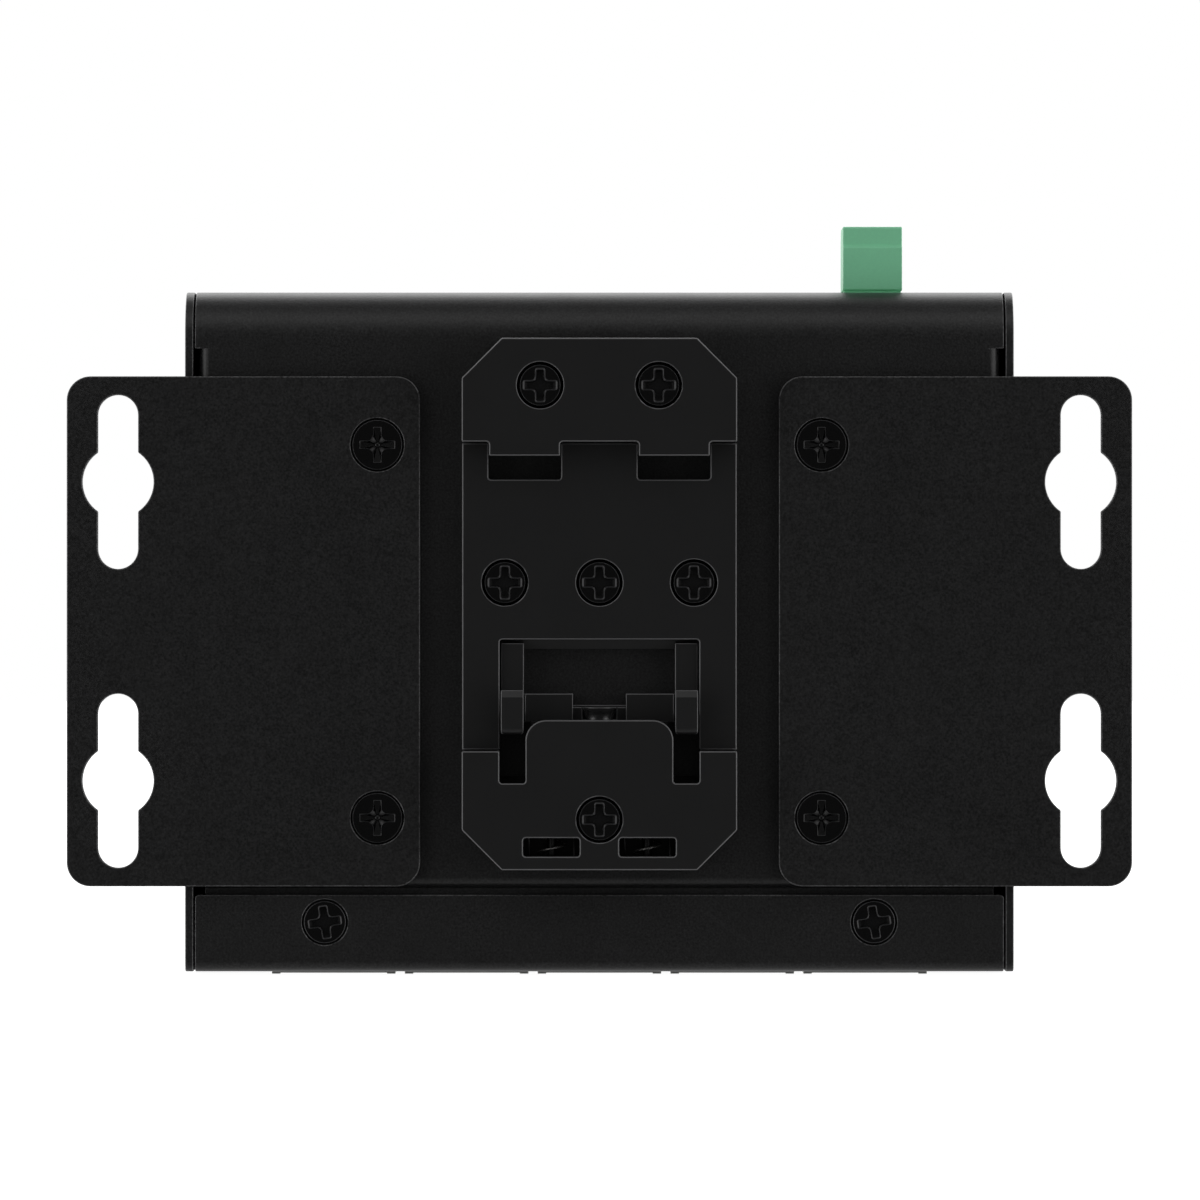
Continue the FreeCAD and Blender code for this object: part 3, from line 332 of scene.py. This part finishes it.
def scuff_group():
    group, given, put = new_group("scuffs", {"Spacing": 6.0}, {"Mask": "Float"})
    scale = math_node(group, "DIVIDE", 1.0 / MM, given.outputs["Spacing"])
    masks = []
    for turn, stretch in SCRATCH_WAYS:
        place = add(group, "Mapping", vector_type="TEXTURE")
        place.inputs["Rotation"].default_value = (0.0, turn, 0.0)
        place.inputs["Scale"].default_value = (stretch, 1.0, 1.0)
        lines = add(group, "TexNoise", Detail=1.0, Roughness=0.4)
        patch = add(group, "TexNoise", Detail=1.0)
        point = object_point(group)
        join(group, (point, place.inputs["Vector"]), (place.outputs[0], lines.inputs["Vector"]),
             (point, patch.inputs["Vector"]))
        join(group, (math_node(group, "MULTIPLY", scale, SCRATCH_FINENESS), lines.inputs["Scale"]),
             (math_node(group, "MULTIPLY", scale, PATCH_FINENESS), patch.inputs["Scale"]))
        thin = remap(group, lines.outputs[0], *SCRATCH_PEAK, 0.0, 1.0)
        inside = remap(group, patch.outputs[0], *PATCH_PEAK, 0.0, 1.0)
        masks.append(math_node(group, "MULTIPLY", thin, inside))
    join(group, (math_node(group, "MAXIMUM", masks[0], masks[1]), put.inputs["Mask"]))
    return group


# %% Edge: a painted highlight
# Face attribute that marks the rounded faces; the edge effect paints them paler as a painted highlight.
EDGE_MARK = "edge"


# Painted highlight: the tone of faces marked as edge is raised by the lift.
def painted_edge_highlight_group():
    group, given, put = new_group("edge", {"Lift": 2.0}, {"Value": "Float"})
    mark = add(group, "Attribute", attribute_name=EDGE_MARK).outputs["Fac"]
    extra = math_node(group, "SUBTRACT", given.outputs["Lift"], 1.0)
    value = math_node(group, "ADD", 1.0, math_node(group, "MULTIPLY", mark, extra))
    join(group, (value, put.inputs["Value"]))
    return group


GRAIN = grain_group()
CLOUD = cloud_group()
SCUFFS = scuff_group()
PAINTED_EDGE_HIGHLIGHT = painted_edge_highlight_group()
print("shared effects", [group.name for group in bpy.data.node_groups])


# %% [markdown]
# ## Finishes
#
# Every finish starts from one function. It takes the shader's plain values and the strengths of
# the shared effects, and links only what changes over the surface. What is the same all over is
# set on the shader itself.

# %% Finish builder
def place_group(tree, group, **values):
    node = tree.nodes.new("ShaderNodeGroup")
    node.node_tree = group
    for name, value in values.items():
        node.inputs[name].default_value = value
    return node


def finish(name, colour, roughness, metallic=0.0, specular=0.5, grain=(0.15, 0.1, 0.004),
           cloud=(12.0, 0.15), rough_cloud=(5.0, 0.15), scuffs=None, edge=None, **shader_values):
    """A material: grain is size, tone and bump height in mm, cloud and rough_cloud are size and
    amount, scuffs is spacing and brightness, and edge is how many times paler the rounded edges are
    painted: a painted highlight along them."""
    material = bpy.data.materials.new(name)
    material.use_nodes = True
    tree = material.node_tree
    shader = tree.nodes["Principled BSDF"]
    shader.inputs["Metallic"].default_value = metallic
    shader.inputs["Specular IOR Level"].default_value = specular
    for label, value in shader_values.items():
        shader.inputs[label.replace("_", " ")].default_value = value
    speckle = place_group(tree, GRAIN, Size=grain[0], Tone=grain[1])
    haze = place_group(tree, CLOUD, Size=cloud[0], Amount=cloud[1])
    tone = math_node(tree, "MULTIPLY", speckle.outputs["Tone"], haze.outputs["Value"])
    if scuffs:
        marks = place_group(tree, SCUFFS, Spacing=scuffs[0])
        tone = math_node(tree, "ADD", tone, math_node(tree, "MULTIPLY", marks.outputs["Mask"], scuffs[1]))
    # Painted highlight: the rounded edges' tone is made paler by the edge value.
    if edge:
        tone = math_node(tree, "MULTIPLY", tone, place_group(tree, PAINTED_EDGE_HIGHLIGHT, Lift=edge).outputs["Value"])
    paint = add(tree, "VectorMath", operation="SCALE")
    paint.inputs[0].default_value = colour
    join(tree, (tone, paint.inputs["Scale"]), (paint.outputs[0], shader.inputs["Base Color"]))
    sheen = place_group(tree, CLOUD, Size=rough_cloud[0], Amount=rough_cloud[1])
    join(tree, (math_node(tree, "MULTIPLY", sheen.outputs["Value"], roughness), shader.inputs["Roughness"]))
    bump = add(tree, "Bump", Strength=1.0, Distance=grain[2] * MM)
    join(tree, (speckle.outputs["Height"], bump.inputs["Height"]), (bump.outputs[0], shader.inputs["Normal"]))
    return material


# %% [markdown]
# ## The finishes of the switch
#
# The case and its brackets are powder coated, with a grain that catches the light. The clip and
# its latch are cast and painted, and much smoother. The screws are blackened steel, and the stud
# and the pins of the latch are black and glossy. The other finishes belong to the plug, the ports
# and the inside. Every imported node gets the finish of its slot, also where a piece replaces it.

# %% Finishes of the switch
# Painted highlight: the edge value of a finish is how many times paler its rounded edges and screw recesses
# are painted, in place of more of the light that real edges catch.
FINISHES = {
    "powder_coat": finish("powder_coat", (0.0088, 0.0088, 0.009), 0.38, grain=(0.27, 4.8, 0.018),
                          cloud=(9.0, 0.5), rough_cloud=(4.0, 0.25), scuffs=(8.0, 0.3), edge=5.4),
    "clip_black": finish("clip_black", (0.0076, 0.0076, 0.0078), 0.38, grain=(0.25, 0.5, 0.003),
                         cloud=(6.0, 0.3), rough_cloud=(4.0, 0.12), scuffs=(10.0, 0.2), edge=13.5),
    "black_steel": finish("black_steel", (0.0022, 0.0022, 0.0023), 0.2, specular=0.4,
                          grain=(0.08, 0.4, 0.0005), rough_cloud=(1.0, 0.2), edge=15.0),
    "polished_black": finish("polished_black", (0.012, 0.012, 0.012), 0.25, specular=1.0,
                             grain=(0.08, 0.3, 0.0005), rough_cloud=(1.0, 0.2), edge=6.0),
    "spring_wire": finish("spring_wire", (0.95, 0.93, 0.9), 0.22, metallic=0.8, specular=1.0,
                          grain=(0.05, 0.1, 0.001), rough_cloud=(0.5, 0.3)),
    "bright_steel": finish("bright_steel", (0.62, 0.62, 0.63), 0.24, metallic=1.0,
                           grain=(0.06, 0.08, 0.001), rough_cloud=(0.8, 0.3)),
    "tin_plate": finish("tin_plate", (0.66, 0.66, 0.64), 0.32, metallic=1.0, grain=(0.1, 0.08, 0.001),
                        cloud=(3.0, 0.12), rough_cloud=(1.5, 0.4)),
    "port_plastic": finish("port_plastic", (0.02, 0.02, 0.021), 0.5, grain=(0.1, 0.2, 0.004)),
    "contact_gold": finish("contact_gold", (0.86, 0.58, 0.24), 0.2, metallic=1.0,
                           grain=(0.06, 0.05, 0.0005)),
    "board_green": finish("board_green", (0.015, 0.11, 0.045), 0.35, grain=(0.4, 0.2, 0.004),
                          cloud=(2.0, 0.3)),
    "terminal_green": finish("terminal_green", (0.23, 0.635, 0.376), 0.42, grain=(0.3, 0.1, 0.004),
                             cloud=(3.0, 0.08), rough_cloud=(2.0, 0.15)),
    "chip_black": finish("chip_black", (0.022, 0.022, 0.023), 0.55, grain=(0.1, 0.3, 0.006)),
    "ferrite_grey": finish("ferrite_grey", (0.1, 0.1, 0.1), 0.6, grain=(0.12, 0.4, 0.008)),
    "can_silver": finish("can_silver", (0.75, 0.75, 0.74), 0.25, metallic=1.0,
                         grain=(0.08, 0.05, 0.001)),
    "pad_grey": finish("pad_grey", (0.35, 0.38, 0.43), 0.7, grain=(0.2, 0.1, 0.01)),
    "clear_plastic": finish("clear_plastic", (0.86, 0.9, 0.88), 0.12, grain=(0.3, 0.02, 0.0005),
                            Transmission_Weight=0.85, IOR=1.49),
    "light_white": finish("light_white", (0.85, 0.83, 0.7), 0.3, grain=(0.2, 0.05, 0.001)),
}
NODE_SLOT = {part["node"]: part["material_slot"] for part in frame["record"]["subparts"]}
for node, slot in NODE_SLOT.items():
    mesh = NODES[node].data
    mesh.materials.clear()
    mesh.materials.append(FINISHES[slot])
print("finishes", len(FINISHES))

# %% [markdown]
# ## Soft edges
#
# No folded, cast or stamped edge is knife sharp, and on a black object the thin bright line along
# each edge is most of what the eye sees. The imported solids have sharp edges, so each piece that
# shows is copied as a bmesh. Its loose triangles are merged, flat faces are joined, and the bevel
# operator rounds the outward edges by a tenth or two of a millimetre. The rounded faces are marked
# as edge, and the finishes paint them paler: a painted highlight on top of the light they catch.
# The edges of a flat face are marked sharp, and a Weighted Normal modifier smooths the rest, so that
# a big face stays flat and only the narrow ones carry the turn.

# %% Copies of imported nodes
SAME_POINT = 1e-6
FLAT_ANGLE = math.radians(0.3)
CORNER_ANGLE = math.radians(32)      # an edge this sharp is rounded
CREASE_ANGLE = math.radians(50)      # an edge of a rounding this sharp stays a crease
FACET_ANGLE = math.radians(20)       # and so does any other edge this sharp
EDGE_STEPS = 3


def merged(node):
    """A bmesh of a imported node, with its points merged and the triangles of a flat face joined."""
    bm = bmesh.new()
    bm.from_mesh(NODES[node].data)
    bm.faces.layers.float.new(EDGE_MARK)
    bmesh.ops.remove_doubles(bm, verts=bm.verts, dist=SAME_POINT)
    bmesh.ops.dissolve_limit(bm, angle_limit=FLAT_ANGLE, use_dissolve_boundaries=False,
                             verts=bm.verts, edges=bm.edges, delimit=set())
    bmesh.ops.recalc_face_normals(bm, faces=bm.faces)
    return bm


# %% Rounding
def outward_edges(bm, angle=CORNER_ANGLE):
    return [edge for edge in bm.edges if edge.is_manifold and edge.calc_face_angle_signed(0.0) > angle]


def round_over(bm, edges, width, steps=EDGE_STEPS):
    """Rounds edges over by a width in millimetres and marks the new faces as edge, which paints them paler: a
    painted highlight.
    """
    mark = bm.faces.layers.float[EDGE_MARK]
    made = bmesh.ops.bevel(bm, geom=edges, offset=width * MM, offset_type="OFFSET", affect="EDGES",
                           segments=steps, profile=0.5, material=-1, clamp_overlap=False,
                           miter_outer="ARC")
    for face in made["faces"]:
        face[mark] = 1.0


# %% From a bmesh to a piece
MARKED = 0.5                         # a face with more of the mark belongs to a rounding
BIG_FACES_FIRST = 100                # weight of the big faces for the normals


def stands_alone(face, mark):
    """Whether a face is flat: it isn't part of a rounding or of a curved surface."""
    if face[mark] > MARKED:
        return False
    for edge in face.edges:
        angle = edge.calc_face_angle(0.0)
        if FLAT_ANGLE < angle < FACET_ANGLE and all(other[mark] < MARKED for other in edge.link_faces):
            return False
    return True


def make_piece(bm, name, body, slot, *nodes, finish_name=None):
    """Turns a bmesh into a piece with its finish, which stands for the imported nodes."""
    mark = bm.faces.layers.float[EDGE_MARK]
    for face in bm.faces:
        face.smooth = True
    for edge in bm.edges:
        rounded = any(face[mark] > MARKED for face in edge.link_faces)
        edge.smooth = edge.calc_face_angle(math.pi) < (CREASE_ANGLE if rounded else FACET_ANGLE)
    for face in bm.faces:
        if stands_alone(face, mark):
            for edge in face.edges:
                edge.smooth = False
    mesh = bpy.data.meshes.new(name)
    bm.to_mesh(mesh)
    bm.free()
    mesh.materials.append(FINISHES[finish_name or slot])
    piece = bpy.data.objects.new(name, mesh)
    bpy.context.scene.collection.objects.link(piece)
    normals = piece.modifiers.new("flat_faces", "WEIGHTED_NORMAL")
    normals.weight = BIG_FACES_FIRST
    normals.keep_sharp = True
    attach(piece, body)
    if nodes:
        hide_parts(*nodes)
    print(name, "faces", len(mesh.polygons))
    return piece


# %% [markdown]
# ## Screw seats
#
# Round every screw head runs a thin black line: the seat begins with a short straight wall, and
# the head lies a little below it. The imported seats are plain cones. The slanted faces of each cone
# are cut once across, and all points above the cut are set to the wall's radius, so that the bevel
# which follows leaves a bright ring with a dark gap inside. The ring catches light, and it is also
# marked as edge and painted paler, a painted highlight.

# %% Seats
SEAT_SLANT = (0.5, 0.9)              # how much a seat's cone faces the camera's side
SEAT_RADII = (2.0, 4.0)              # in mm
SEAT_FACES = 12                      # a cone has at least so many


def grown(face, allowed):
    """The face and all of the allowed ones that it hangs together with by edges."""
    group = {face}
    rest = [face]
    while rest:
        for edge in rest.pop().edges:
            for other in edge.link_faces:
                if other in allowed and other not in group:
                    group.add(other)
                    rest.append(other)
    return group


def wall_seats(bm, draw_in, depth):
    """Gives each screw seat a straight wall: its mouth gets narrower by draw_in, in millimetres.
    Gives back the edges of the mouths."""
    mouths = []
    cones = {face for face in bm.faces if SEAT_SLANT[0] < -face.normal.y < SEAT_SLANT[1]}
    while cones:
        cone = grown(next(iter(cones)), cones)
        cones -= cone
        points = {vert for face in cone for vert in face.verts}
        top = min(vert.co.y for vert in points)
        ring = [vert for vert in points if vert.co.y < top + SAME_POINT]
        low = Vector([min(vert.co[i] for vert in ring) for i in range(3)])
        high = Vector([max(vert.co[i] for vert in ring) for i in range(3)])
        centre = (low + high) / 2
        radius = (high.x - low.x) / 2
        if not SEAT_RADII[0] * MM < radius < SEAT_RADII[1] * MM or len(cone) < SEAT_FACES:
            continue
        edges = {edge for face in cone for edge in face.edges}
        level = Vector((0, top + depth * MM, 0))
        made = bmesh.ops.bisect_plane(bm, geom=[*points, *edges, *cone], plane_co=level,
                                      plane_no=(0, 1, 0), dist=SAME_POINT)
        middle = [item for item in made["geom_cut"] if isinstance(item, bmesh.types.BMVert)]
        wall = radius - draw_in * MM
        for vert in {*middle, *(vert for vert in points if vert.co.y < level.y + SAME_POINT)}:
            reach = Vector((vert.co.x - centre.x, vert.co.z - centre.z))
            reach *= wall / reach.length
            vert.co.x = centre.x + reach.x
            vert.co.z = centre.z + reach.y
        mouths += [edge for edge in {edge for vert in ring for edge in vert.link_edges}
                   if all(vert in ring for vert in edge.verts)]
    return mouths


# %% [markdown]
# ## Dark places of the latch
#
# Light finds its way to two places that are black on the real clip. The narrow ledges beside the
# springs are inset a little and sunk. The latch's crossbar, which shows under the window's upper
# edge, leans back, so that it looks down into the window. The small steps of the latch behind the
# tongue stay sharp, because roundings there would run into each other.

# %% Ledges and crossbar
UPRIGHT = 0.95                       # share of a normal that points along the screws
LEDGE_AREA = 2.5e-6
LEDGE_PLACE = (-14.7 * MM, -14.5 * MM)
LEDGE_INSET = 0.05 * MM
LEDGE_SINK = 3.5 * MM
BAR_LIP = 39.89 * MM                 # height of the crossbar's lower edge
BAR_FRONT = -12.2 * MM               # what lies before this at that height is its front edge
BAR_LEAN = 1.2 * MM
SAME_HEIGHT = 0.02 * MM
HIDDEN_STEP = (9.15 * MM, 31.2 * MM) # half width and height of what lies behind the tongue


def sink_ledges(bm):
    """Sinks the narrow ledges behind the spring windows, which look black."""
    ledges = [face for face in bm.faces if face.normal.y < -UPRIGHT and face.calc_area() < LEDGE_AREA
              and LEDGE_PLACE[0] < face.calc_center_median().y < LEDGE_PLACE[1]]
    bmesh.ops.inset_individual(bm, faces=ledges, thickness=LEDGE_INSET)
    points = list({vert for face in ledges for vert in face.verts})
    bmesh.ops.translate(bm, verts=points, vec=(0, LEDGE_SINK, 0))
    print("ledges", len(ledges))


def lean_bar(bm, edges):
    """Leans the latch's crossbar back, and gives back those of the edges that are rounded."""
    lip = [vert for vert in bm.verts
           if abs(vert.co.z - BAR_LIP) < SAME_HEIGHT and vert.co.y < BAR_FRONT]
    for vert in lip:
        vert.co.y += BAR_LEAN
    hidden = [edge for edge in edges
              if all(vert.co.z < HIDDEN_STEP[1] and abs(vert.co.x) < HIDDEN_STEP[0] for vert in edge.verts)]
    print("lip points", len(lip), "hidden edges", len(hidden))
    return [edge for edge in edges if edge not in hidden and not all(vert in lip for vert in edge.verts)]


# %% [markdown]
# ## Case, brackets, clip and plug
#
# These are the big pieces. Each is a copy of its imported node, with its seats walled and its outward
# edges rounded: thick castings more, and the thin shields of the ports less. The stud of the latch
# and the pins of the springs are small turned parts, and get a glossy finish.

# %% Case, brackets, clip and plug
SOFT_EDGES = {
    "front_chassis": ("case_tray", 0.14), "rear_cover": ("case_back", 0.14),
    "bracket_left": ("wall_bracket_left", 0.14), "bracket_right": ("wall_bracket_right", 0.14),
    "clip_hook_block": ("rail_hook_block", 0.15), "clip_plate": ("rail_plate", 0.15),
    "clip_latch_block": ("rail_latch_block", 0.15), "latch_slider": ("latch_frame", 0.1),
    "terminal_plug": ("supply_plug", 0.12), "terminal_header": ("supply_socket", 0.06),
}
for number in range(1, 6):
    SOFT_EDGES[f"port_insert_{number}"] = (f"port_moulding_{number}", 0.12)
    SOFT_EDGES[f"port_shield_{number}"] = (f"port_shell_{number}", 0.05)
WALLED_SEATS = {
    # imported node: how much the mouth is drawn in and the wall's depth, both in mm
    "front_chassis": (0.04, 0.7), "bracket_left": (0.14, 1.3), "bracket_right": (0.14, 1.3),
    "clip_hook_block": (0.15, 1.35), "clip_plate": (0.15, 1.35), "clip_latch_block": (0.15, 1.35),
}
SEAT_SOFT = 0.09

for node, (name, width) in SOFT_EDGES.items():
    shape = merged(node)
    if node in WALLED_SEATS:
        seats = wall_seats(shape, *WALLED_SEATS[node])
        print(node, "seat edges", len(seats))
        round_over(shape, seats, SEAT_SOFT)
    if node == "clip_latch_block":
        sink_ledges(shape)
    edges = outward_edges(shape)
    if node == "latch_slider":
        edges = lean_bar(shape, edges)
    round_over(shape, edges, width)
    make_piece(shape, name, "latch" if node == "latch_slider" else "switch", NODE_SLOT[node], node)

# %% Stud and pins
TURNED_PARTS = {
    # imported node: piece and body
    "latch_stud": ("latch_grip", "latch"),
    "spring_pin_left": ("coil_pin_left", "switch"),
    "spring_pin_right": ("coil_pin_right", "switch"),
}
TURNED_SOFT = 0.1

for node, (name, body) in TURNED_PARTS.items():
    shape = merged(node)
    round_over(shape, outward_edges(shape), TURNED_SOFT)
    make_piece(shape, name, body, "black_steel", node, finish_name="polished_black")

# %% [markdown]
# ## Countersunk screws
#
# The screw heads are small, but there are a dozen and they catch the eye. A pressed cross recess
# has rounded shoulders where its arms meet, and a slope round its mouth, painted pale as a painted
# highlight; the recess's floor is painted a little paler against the shade in it, and the head's
# rounded rim paler too. Each kind of screw is made once, lying on the origin, and copied to the axes
# of the imported screws. It starts from a flat cross. The bevel operator rounds its corners, the
# inset operator makes the slope, and the extruded inner face makes the recess. A fill between the
# cross and a circle makes the head, and the circle is drawn down to the cone and the shank.

# %% Sizes of the screws
SCREWS = {
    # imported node: piece, head radius, arm length, arm width, shoulder, tip, slope, turn in degrees
    "bracket_screws": ("bracket_screw_heads", 3.06, 4.35, 1.0, 0.75, 0.1, 0.07, 0),
    "cover_screws": ("case_screw_heads", 2.58, 4.14, 1.14, 0.5, 0.22, 0.17, -8),
    "clip_top_screws": ("hook_block_screws", 2.5, 4.2, 1.24, 0.45, 0.25, 0.2, 0),
    "clip_middle_screws": ("rail_plate_screws", 2.5, 4.2, 1.24, 0.45, 0.25, 0.2, 0),
    "clip_bottom_screw": ("latch_block_screw", 2.5, 4.2, 1.24, 0.45, 0.25, 0.2, 0),
}
SHANK_RADIUS = 1.48 * MM
RIM = 0.15 * MM                      # straight part between the head's face and its cone
RIM_SOFT = 0.1
RIM_STEPS = 2
HEAD_SIDES = 48


# %% A flat cross
SHOULDER_STEPS = 4
TIP_STEPS = 2


def loose_parts(bm):
    """Groups of points that hang together, in the order of their first points."""
    left = set(bm.verts)
    for first in bm.verts:
        if first not in left:
            continue
        left.remove(first)
        group = [first]
        for vert in group:
            for edge in vert.link_edges:
                other = edge.other_vert(vert)
                if other in left:
                    left.remove(other)
                    group.append(other)
        yield group


def cross(bm, length, width, shoulder, tip):
    """A flat cross that faces the camera's side, with rounded corners."""
    a, b = length / 2, width / 2
    corners = [(a, b), (b, b), (b, a), (-b, a), (-b, b), (-a, b),
               (-a, -b), (-b, -b), (-b, -a), (b, -a), (b, -b), (a, -b)]
    verts = [bm.verts.new((x * MM, 0, z * MM)) for x, z in corners]
    face = bm.faces.new(verts)
    face.normal_update()
    if face.normal.y > 0:
        face.normal_flip()
    inner = verts[1::3]
    outer = [vert for vert in verts if vert not in inner]
    for group, radius, steps in ((inner, shoulder, SHOULDER_STEPS), (outer, tip, TIP_STEPS)):
        bmesh.ops.bevel(bm, geom=group, offset=radius * MM, offset_type="OFFSET", affect="VERTICES",
                        segments=steps, profile=0.5, material=-1, clamp_overlap=False)
    return bm.faces[:][0]


# %% The recess
RECESS_DEPTH = 1.15 * MM
FLAT_DEPTH = 0.8 * MM                # a recess with a flat floor looks shallower
RECESS_TAPER = 0.85
# Painted light: the recess's floor is painted paler against its shade, and the slope round its mouth is
# painted paler as a highlight.
FLOOR_PAINTED_LIGHT = 0.15                    # how pale its floor is
SLOPE_PAINTED_HIGHLIGHT = 0.65                    # and the slope round its mouth
SLOPE_DROP = 0.8                     # the slope's depth beside its width
NARROW_SLOPE = 0.1                   # below this width, in mm, the recess is a funnel
FUNNEL_START = 0.6 * MM              # the funnel of a bracket screw begins this deep
FUNNEL_TAPER = 0.97
NIPPLE = 0.45                        # and has a low cone in its middle


def deepen(bm, face, depth, taper):
    """Draws a face inwards, smaller by the taper, and gives the new one back."""
    floor = bmesh.ops.extrude_discrete_faces(bm, faces=[face])["faces"][0]
    bmesh.ops.scale(bm, vec=(taper, 1, taper), verts=floor.verts)
    bmesh.ops.translate(bm, vec=(0, depth, 0), verts=floor.verts)
    return floor


def funnel(bm, face):
    """Draws a face inwards to a funnel with a low cone in its middle."""
    floor = deepen(bm, face, FUNNEL_START, FUNNEL_TAPER)
    centre = bmesh.ops.poke(bm, faces=[floor])["verts"]
    bmesh.ops.translate(bm, vec=(0, RECESS_DEPTH - FUNNEL_START, 0), verts=centre)
    bmesh.ops.bevel(bm, geom=centre, offset=NIPPLE * MM, offset_type="OFFSET", affect="VERTICES",
                    segments=1, profile=0.5, material=-1, clamp_overlap=False)
    low = max(bm.faces, key=lambda item: item.calc_center_median().y)
    peak = bmesh.ops.poke(bm, faces=[low])["verts"]
    bmesh.ops.translate(bm, vec=(0, -NIPPLE * MM, 0), verts=peak)


# %% A whole screw
def draw_down(bm, edges, depth, scale):
    """Extrudes a ring of edges inwards and gives the new ring's edges back."""
    made = bmesh.ops.extrude_edge_only(bm, edges=edges)["geom"]
    verts = [item for item in made if isinstance(item, bmesh.types.BMVert)]
    bmesh.ops.translate(bm, vec=(0, depth, 0), verts=verts)
    bmesh.ops.scale(bm, vec=(scale, 1, scale), verts=verts)
    return [item for item in made if isinstance(item, bmesh.types.BMEdge)
            and all(vert in verts for vert in item.verts)]


def cross_screw(length, radius, arm_length, arm_width, shoulder, tip, slope, turn):
    """Mesh of one screw along +Y whose head's face is at y = 0."""
    bm = bmesh.new()
    mark = bm.faces.layers.float.new(EDGE_MARK)
    face = cross(bm, arm_length, arm_width, shoulder, tip)
    ring = bmesh.ops.inset_region(bm, faces=[face], use_boundary=True, use_even_offset=True,
                                  thickness=slope * MM, depth=-slope * SLOPE_DROP * MM)["faces"]
    # Painted highlight on the slope round the mouth.
    for item in ring:
        item[mark] = SLOPE_PAINTED_HIGHLIGHT
    mouth = [edge for edge in bm.edges if edge.is_boundary]
    # A flat floor is painted paler against the shade in the recess: painted light.
    if slope < NARROW_SLOPE:
        funnel(bm, face)
    else:
        deepen(bm, face, FLAT_DEPTH - slope * MM, RECESS_TAPER)[mark] = FLOOR_PAINTED_LIGHT
    turned = Matrix.Rotation(math.radians(turn), 3, "Y")
    bmesh.ops.rotate(bm, cent=(0, 0, 0), matrix=turned, verts=bm.verts)
    rim = bmesh.ops.create_circle(bm, radius=radius * MM, segments=HEAD_SIDES,
                                  matrix=Matrix.Rotation(math.pi / 2, 4, "X"))["verts"]
    circle = list({edge for vert in rim for edge in vert.link_edges})
    bmesh.ops.triangle_fill(bm, edges=mouth + circle, use_beauty=True, use_dissolve=False,
                            normal=(0, -1, 0))
    loop = draw_down(bm, circle, RIM, 1.0)
    cone = radius * MM - SHANK_RADIUS
    loop = draw_down(bm, loop, cone, SHANK_RADIUS / (radius * MM))
    loop = draw_down(bm, loop, length - RIM - cone, 1.0)
    bmesh.ops.edgeloop_fill(bm, edges=loop)
    bmesh.ops.recalc_face_normals(bm, faces=bm.faces)
    round_over(bm, circle, RIM_SOFT, RIM_STEPS)
    mesh = bpy.data.meshes.new("screw")
    bm.to_mesh(mesh)
    bm.free()
    return mesh


# %% Screws in their places
for node, (name, *values) in SCREWS.items():
    packed = merged(node)
    boxes = [[[reach(vert.co[i] for vert in group) for i in range(3)] for reach in (min, max)]
             for group in loose_parts(packed)]
    packed.free()
    screw = cross_screw(boxes[0][1][1] - boxes[0][0][1], *values)
    shape = bmesh.new()
    for low, high in boxes:
        count = len(shape.verts)
        shape.from_mesh(screw)
        shape.verts.ensure_lookup_table()
        bmesh.ops.translate(shape, verts=shape.verts[count:],
                            vec=((low[0] + high[0]) / 2, low[1], (low[2] + high[2]) / 2))
    bpy.data.meshes.remove(screw)
    make_piece(shape, name, "switch", NODE_SLOT[node], node)

# %% [markdown]
# ## Springs
#
# Two compression springs push the latch up, and one strand of each shows in the clip's windows.
# A spring is a round wire on a helix. The spin operator makes it from a circle in one go. It turns
# the circle about the spring's axis and lifts it by a little at every step.

# %% Springs
WIRE = 0.3 * MM
WIRE_SIDES = 12
TURNS = 4
STEPS_A_TURN = 48


def wound_spring(node, name):
    low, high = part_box(node)
    axis_x, axis_y = (low.x + high.x) / 2, (low.y + high.y) / 2
    radius = (high.x - low.x - WIRE) / 2
    start = Vector((axis_x + radius, axis_y, low.z + WIRE / 2))
    climb = (high.z - low.z - WIRE) / (TURNS * STEPS_A_TURN)
    bm = bmesh.new()
    bm.faces.layers.float.new(EDGE_MARK)
    circle = bmesh.ops.create_circle(bm, cap_ends=True, radius=WIRE / 2, segments=WIRE_SIDES)
    bmesh.ops.rotate(bm, verts=circle["verts"], cent=(0, 0, 0),
                     matrix=Matrix.Rotation(math.pi / 2, 3, "X"))
    bmesh.ops.translate(bm, verts=circle["verts"], vec=start)
    bmesh.ops.spin(bm, geom=bm.verts[:] + bm.edges[:] + bm.faces[:], cent=(axis_x, axis_y, 0),
                   axis=(0, 0, 1), dvec=(0, 0, climb), angle=math.tau * TURNS, steps=TURNS * STEPS_A_TURN)
    bmesh.ops.recalc_face_normals(bm, faces=bm.faces)
    piece = make_piece(bm, name, "switch", NODE_SLOT[node], node, finish_name="spring_wire")
    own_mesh(piece)
    places = [vert.co for vert in piece.data.vertices]
    new_low, new_high = (Vector(reach(place[i] for place in places) for i in range(3))
                         for reach in (min, max))
    print(name, "off its box by mm", round((new_low - low).length / MM, 3),
          round((new_high - high).length / MM, 3))


wound_spring("latch_spring_left", "latch_coil_left")
wound_spring("latch_spring_right", "latch_coil_right")
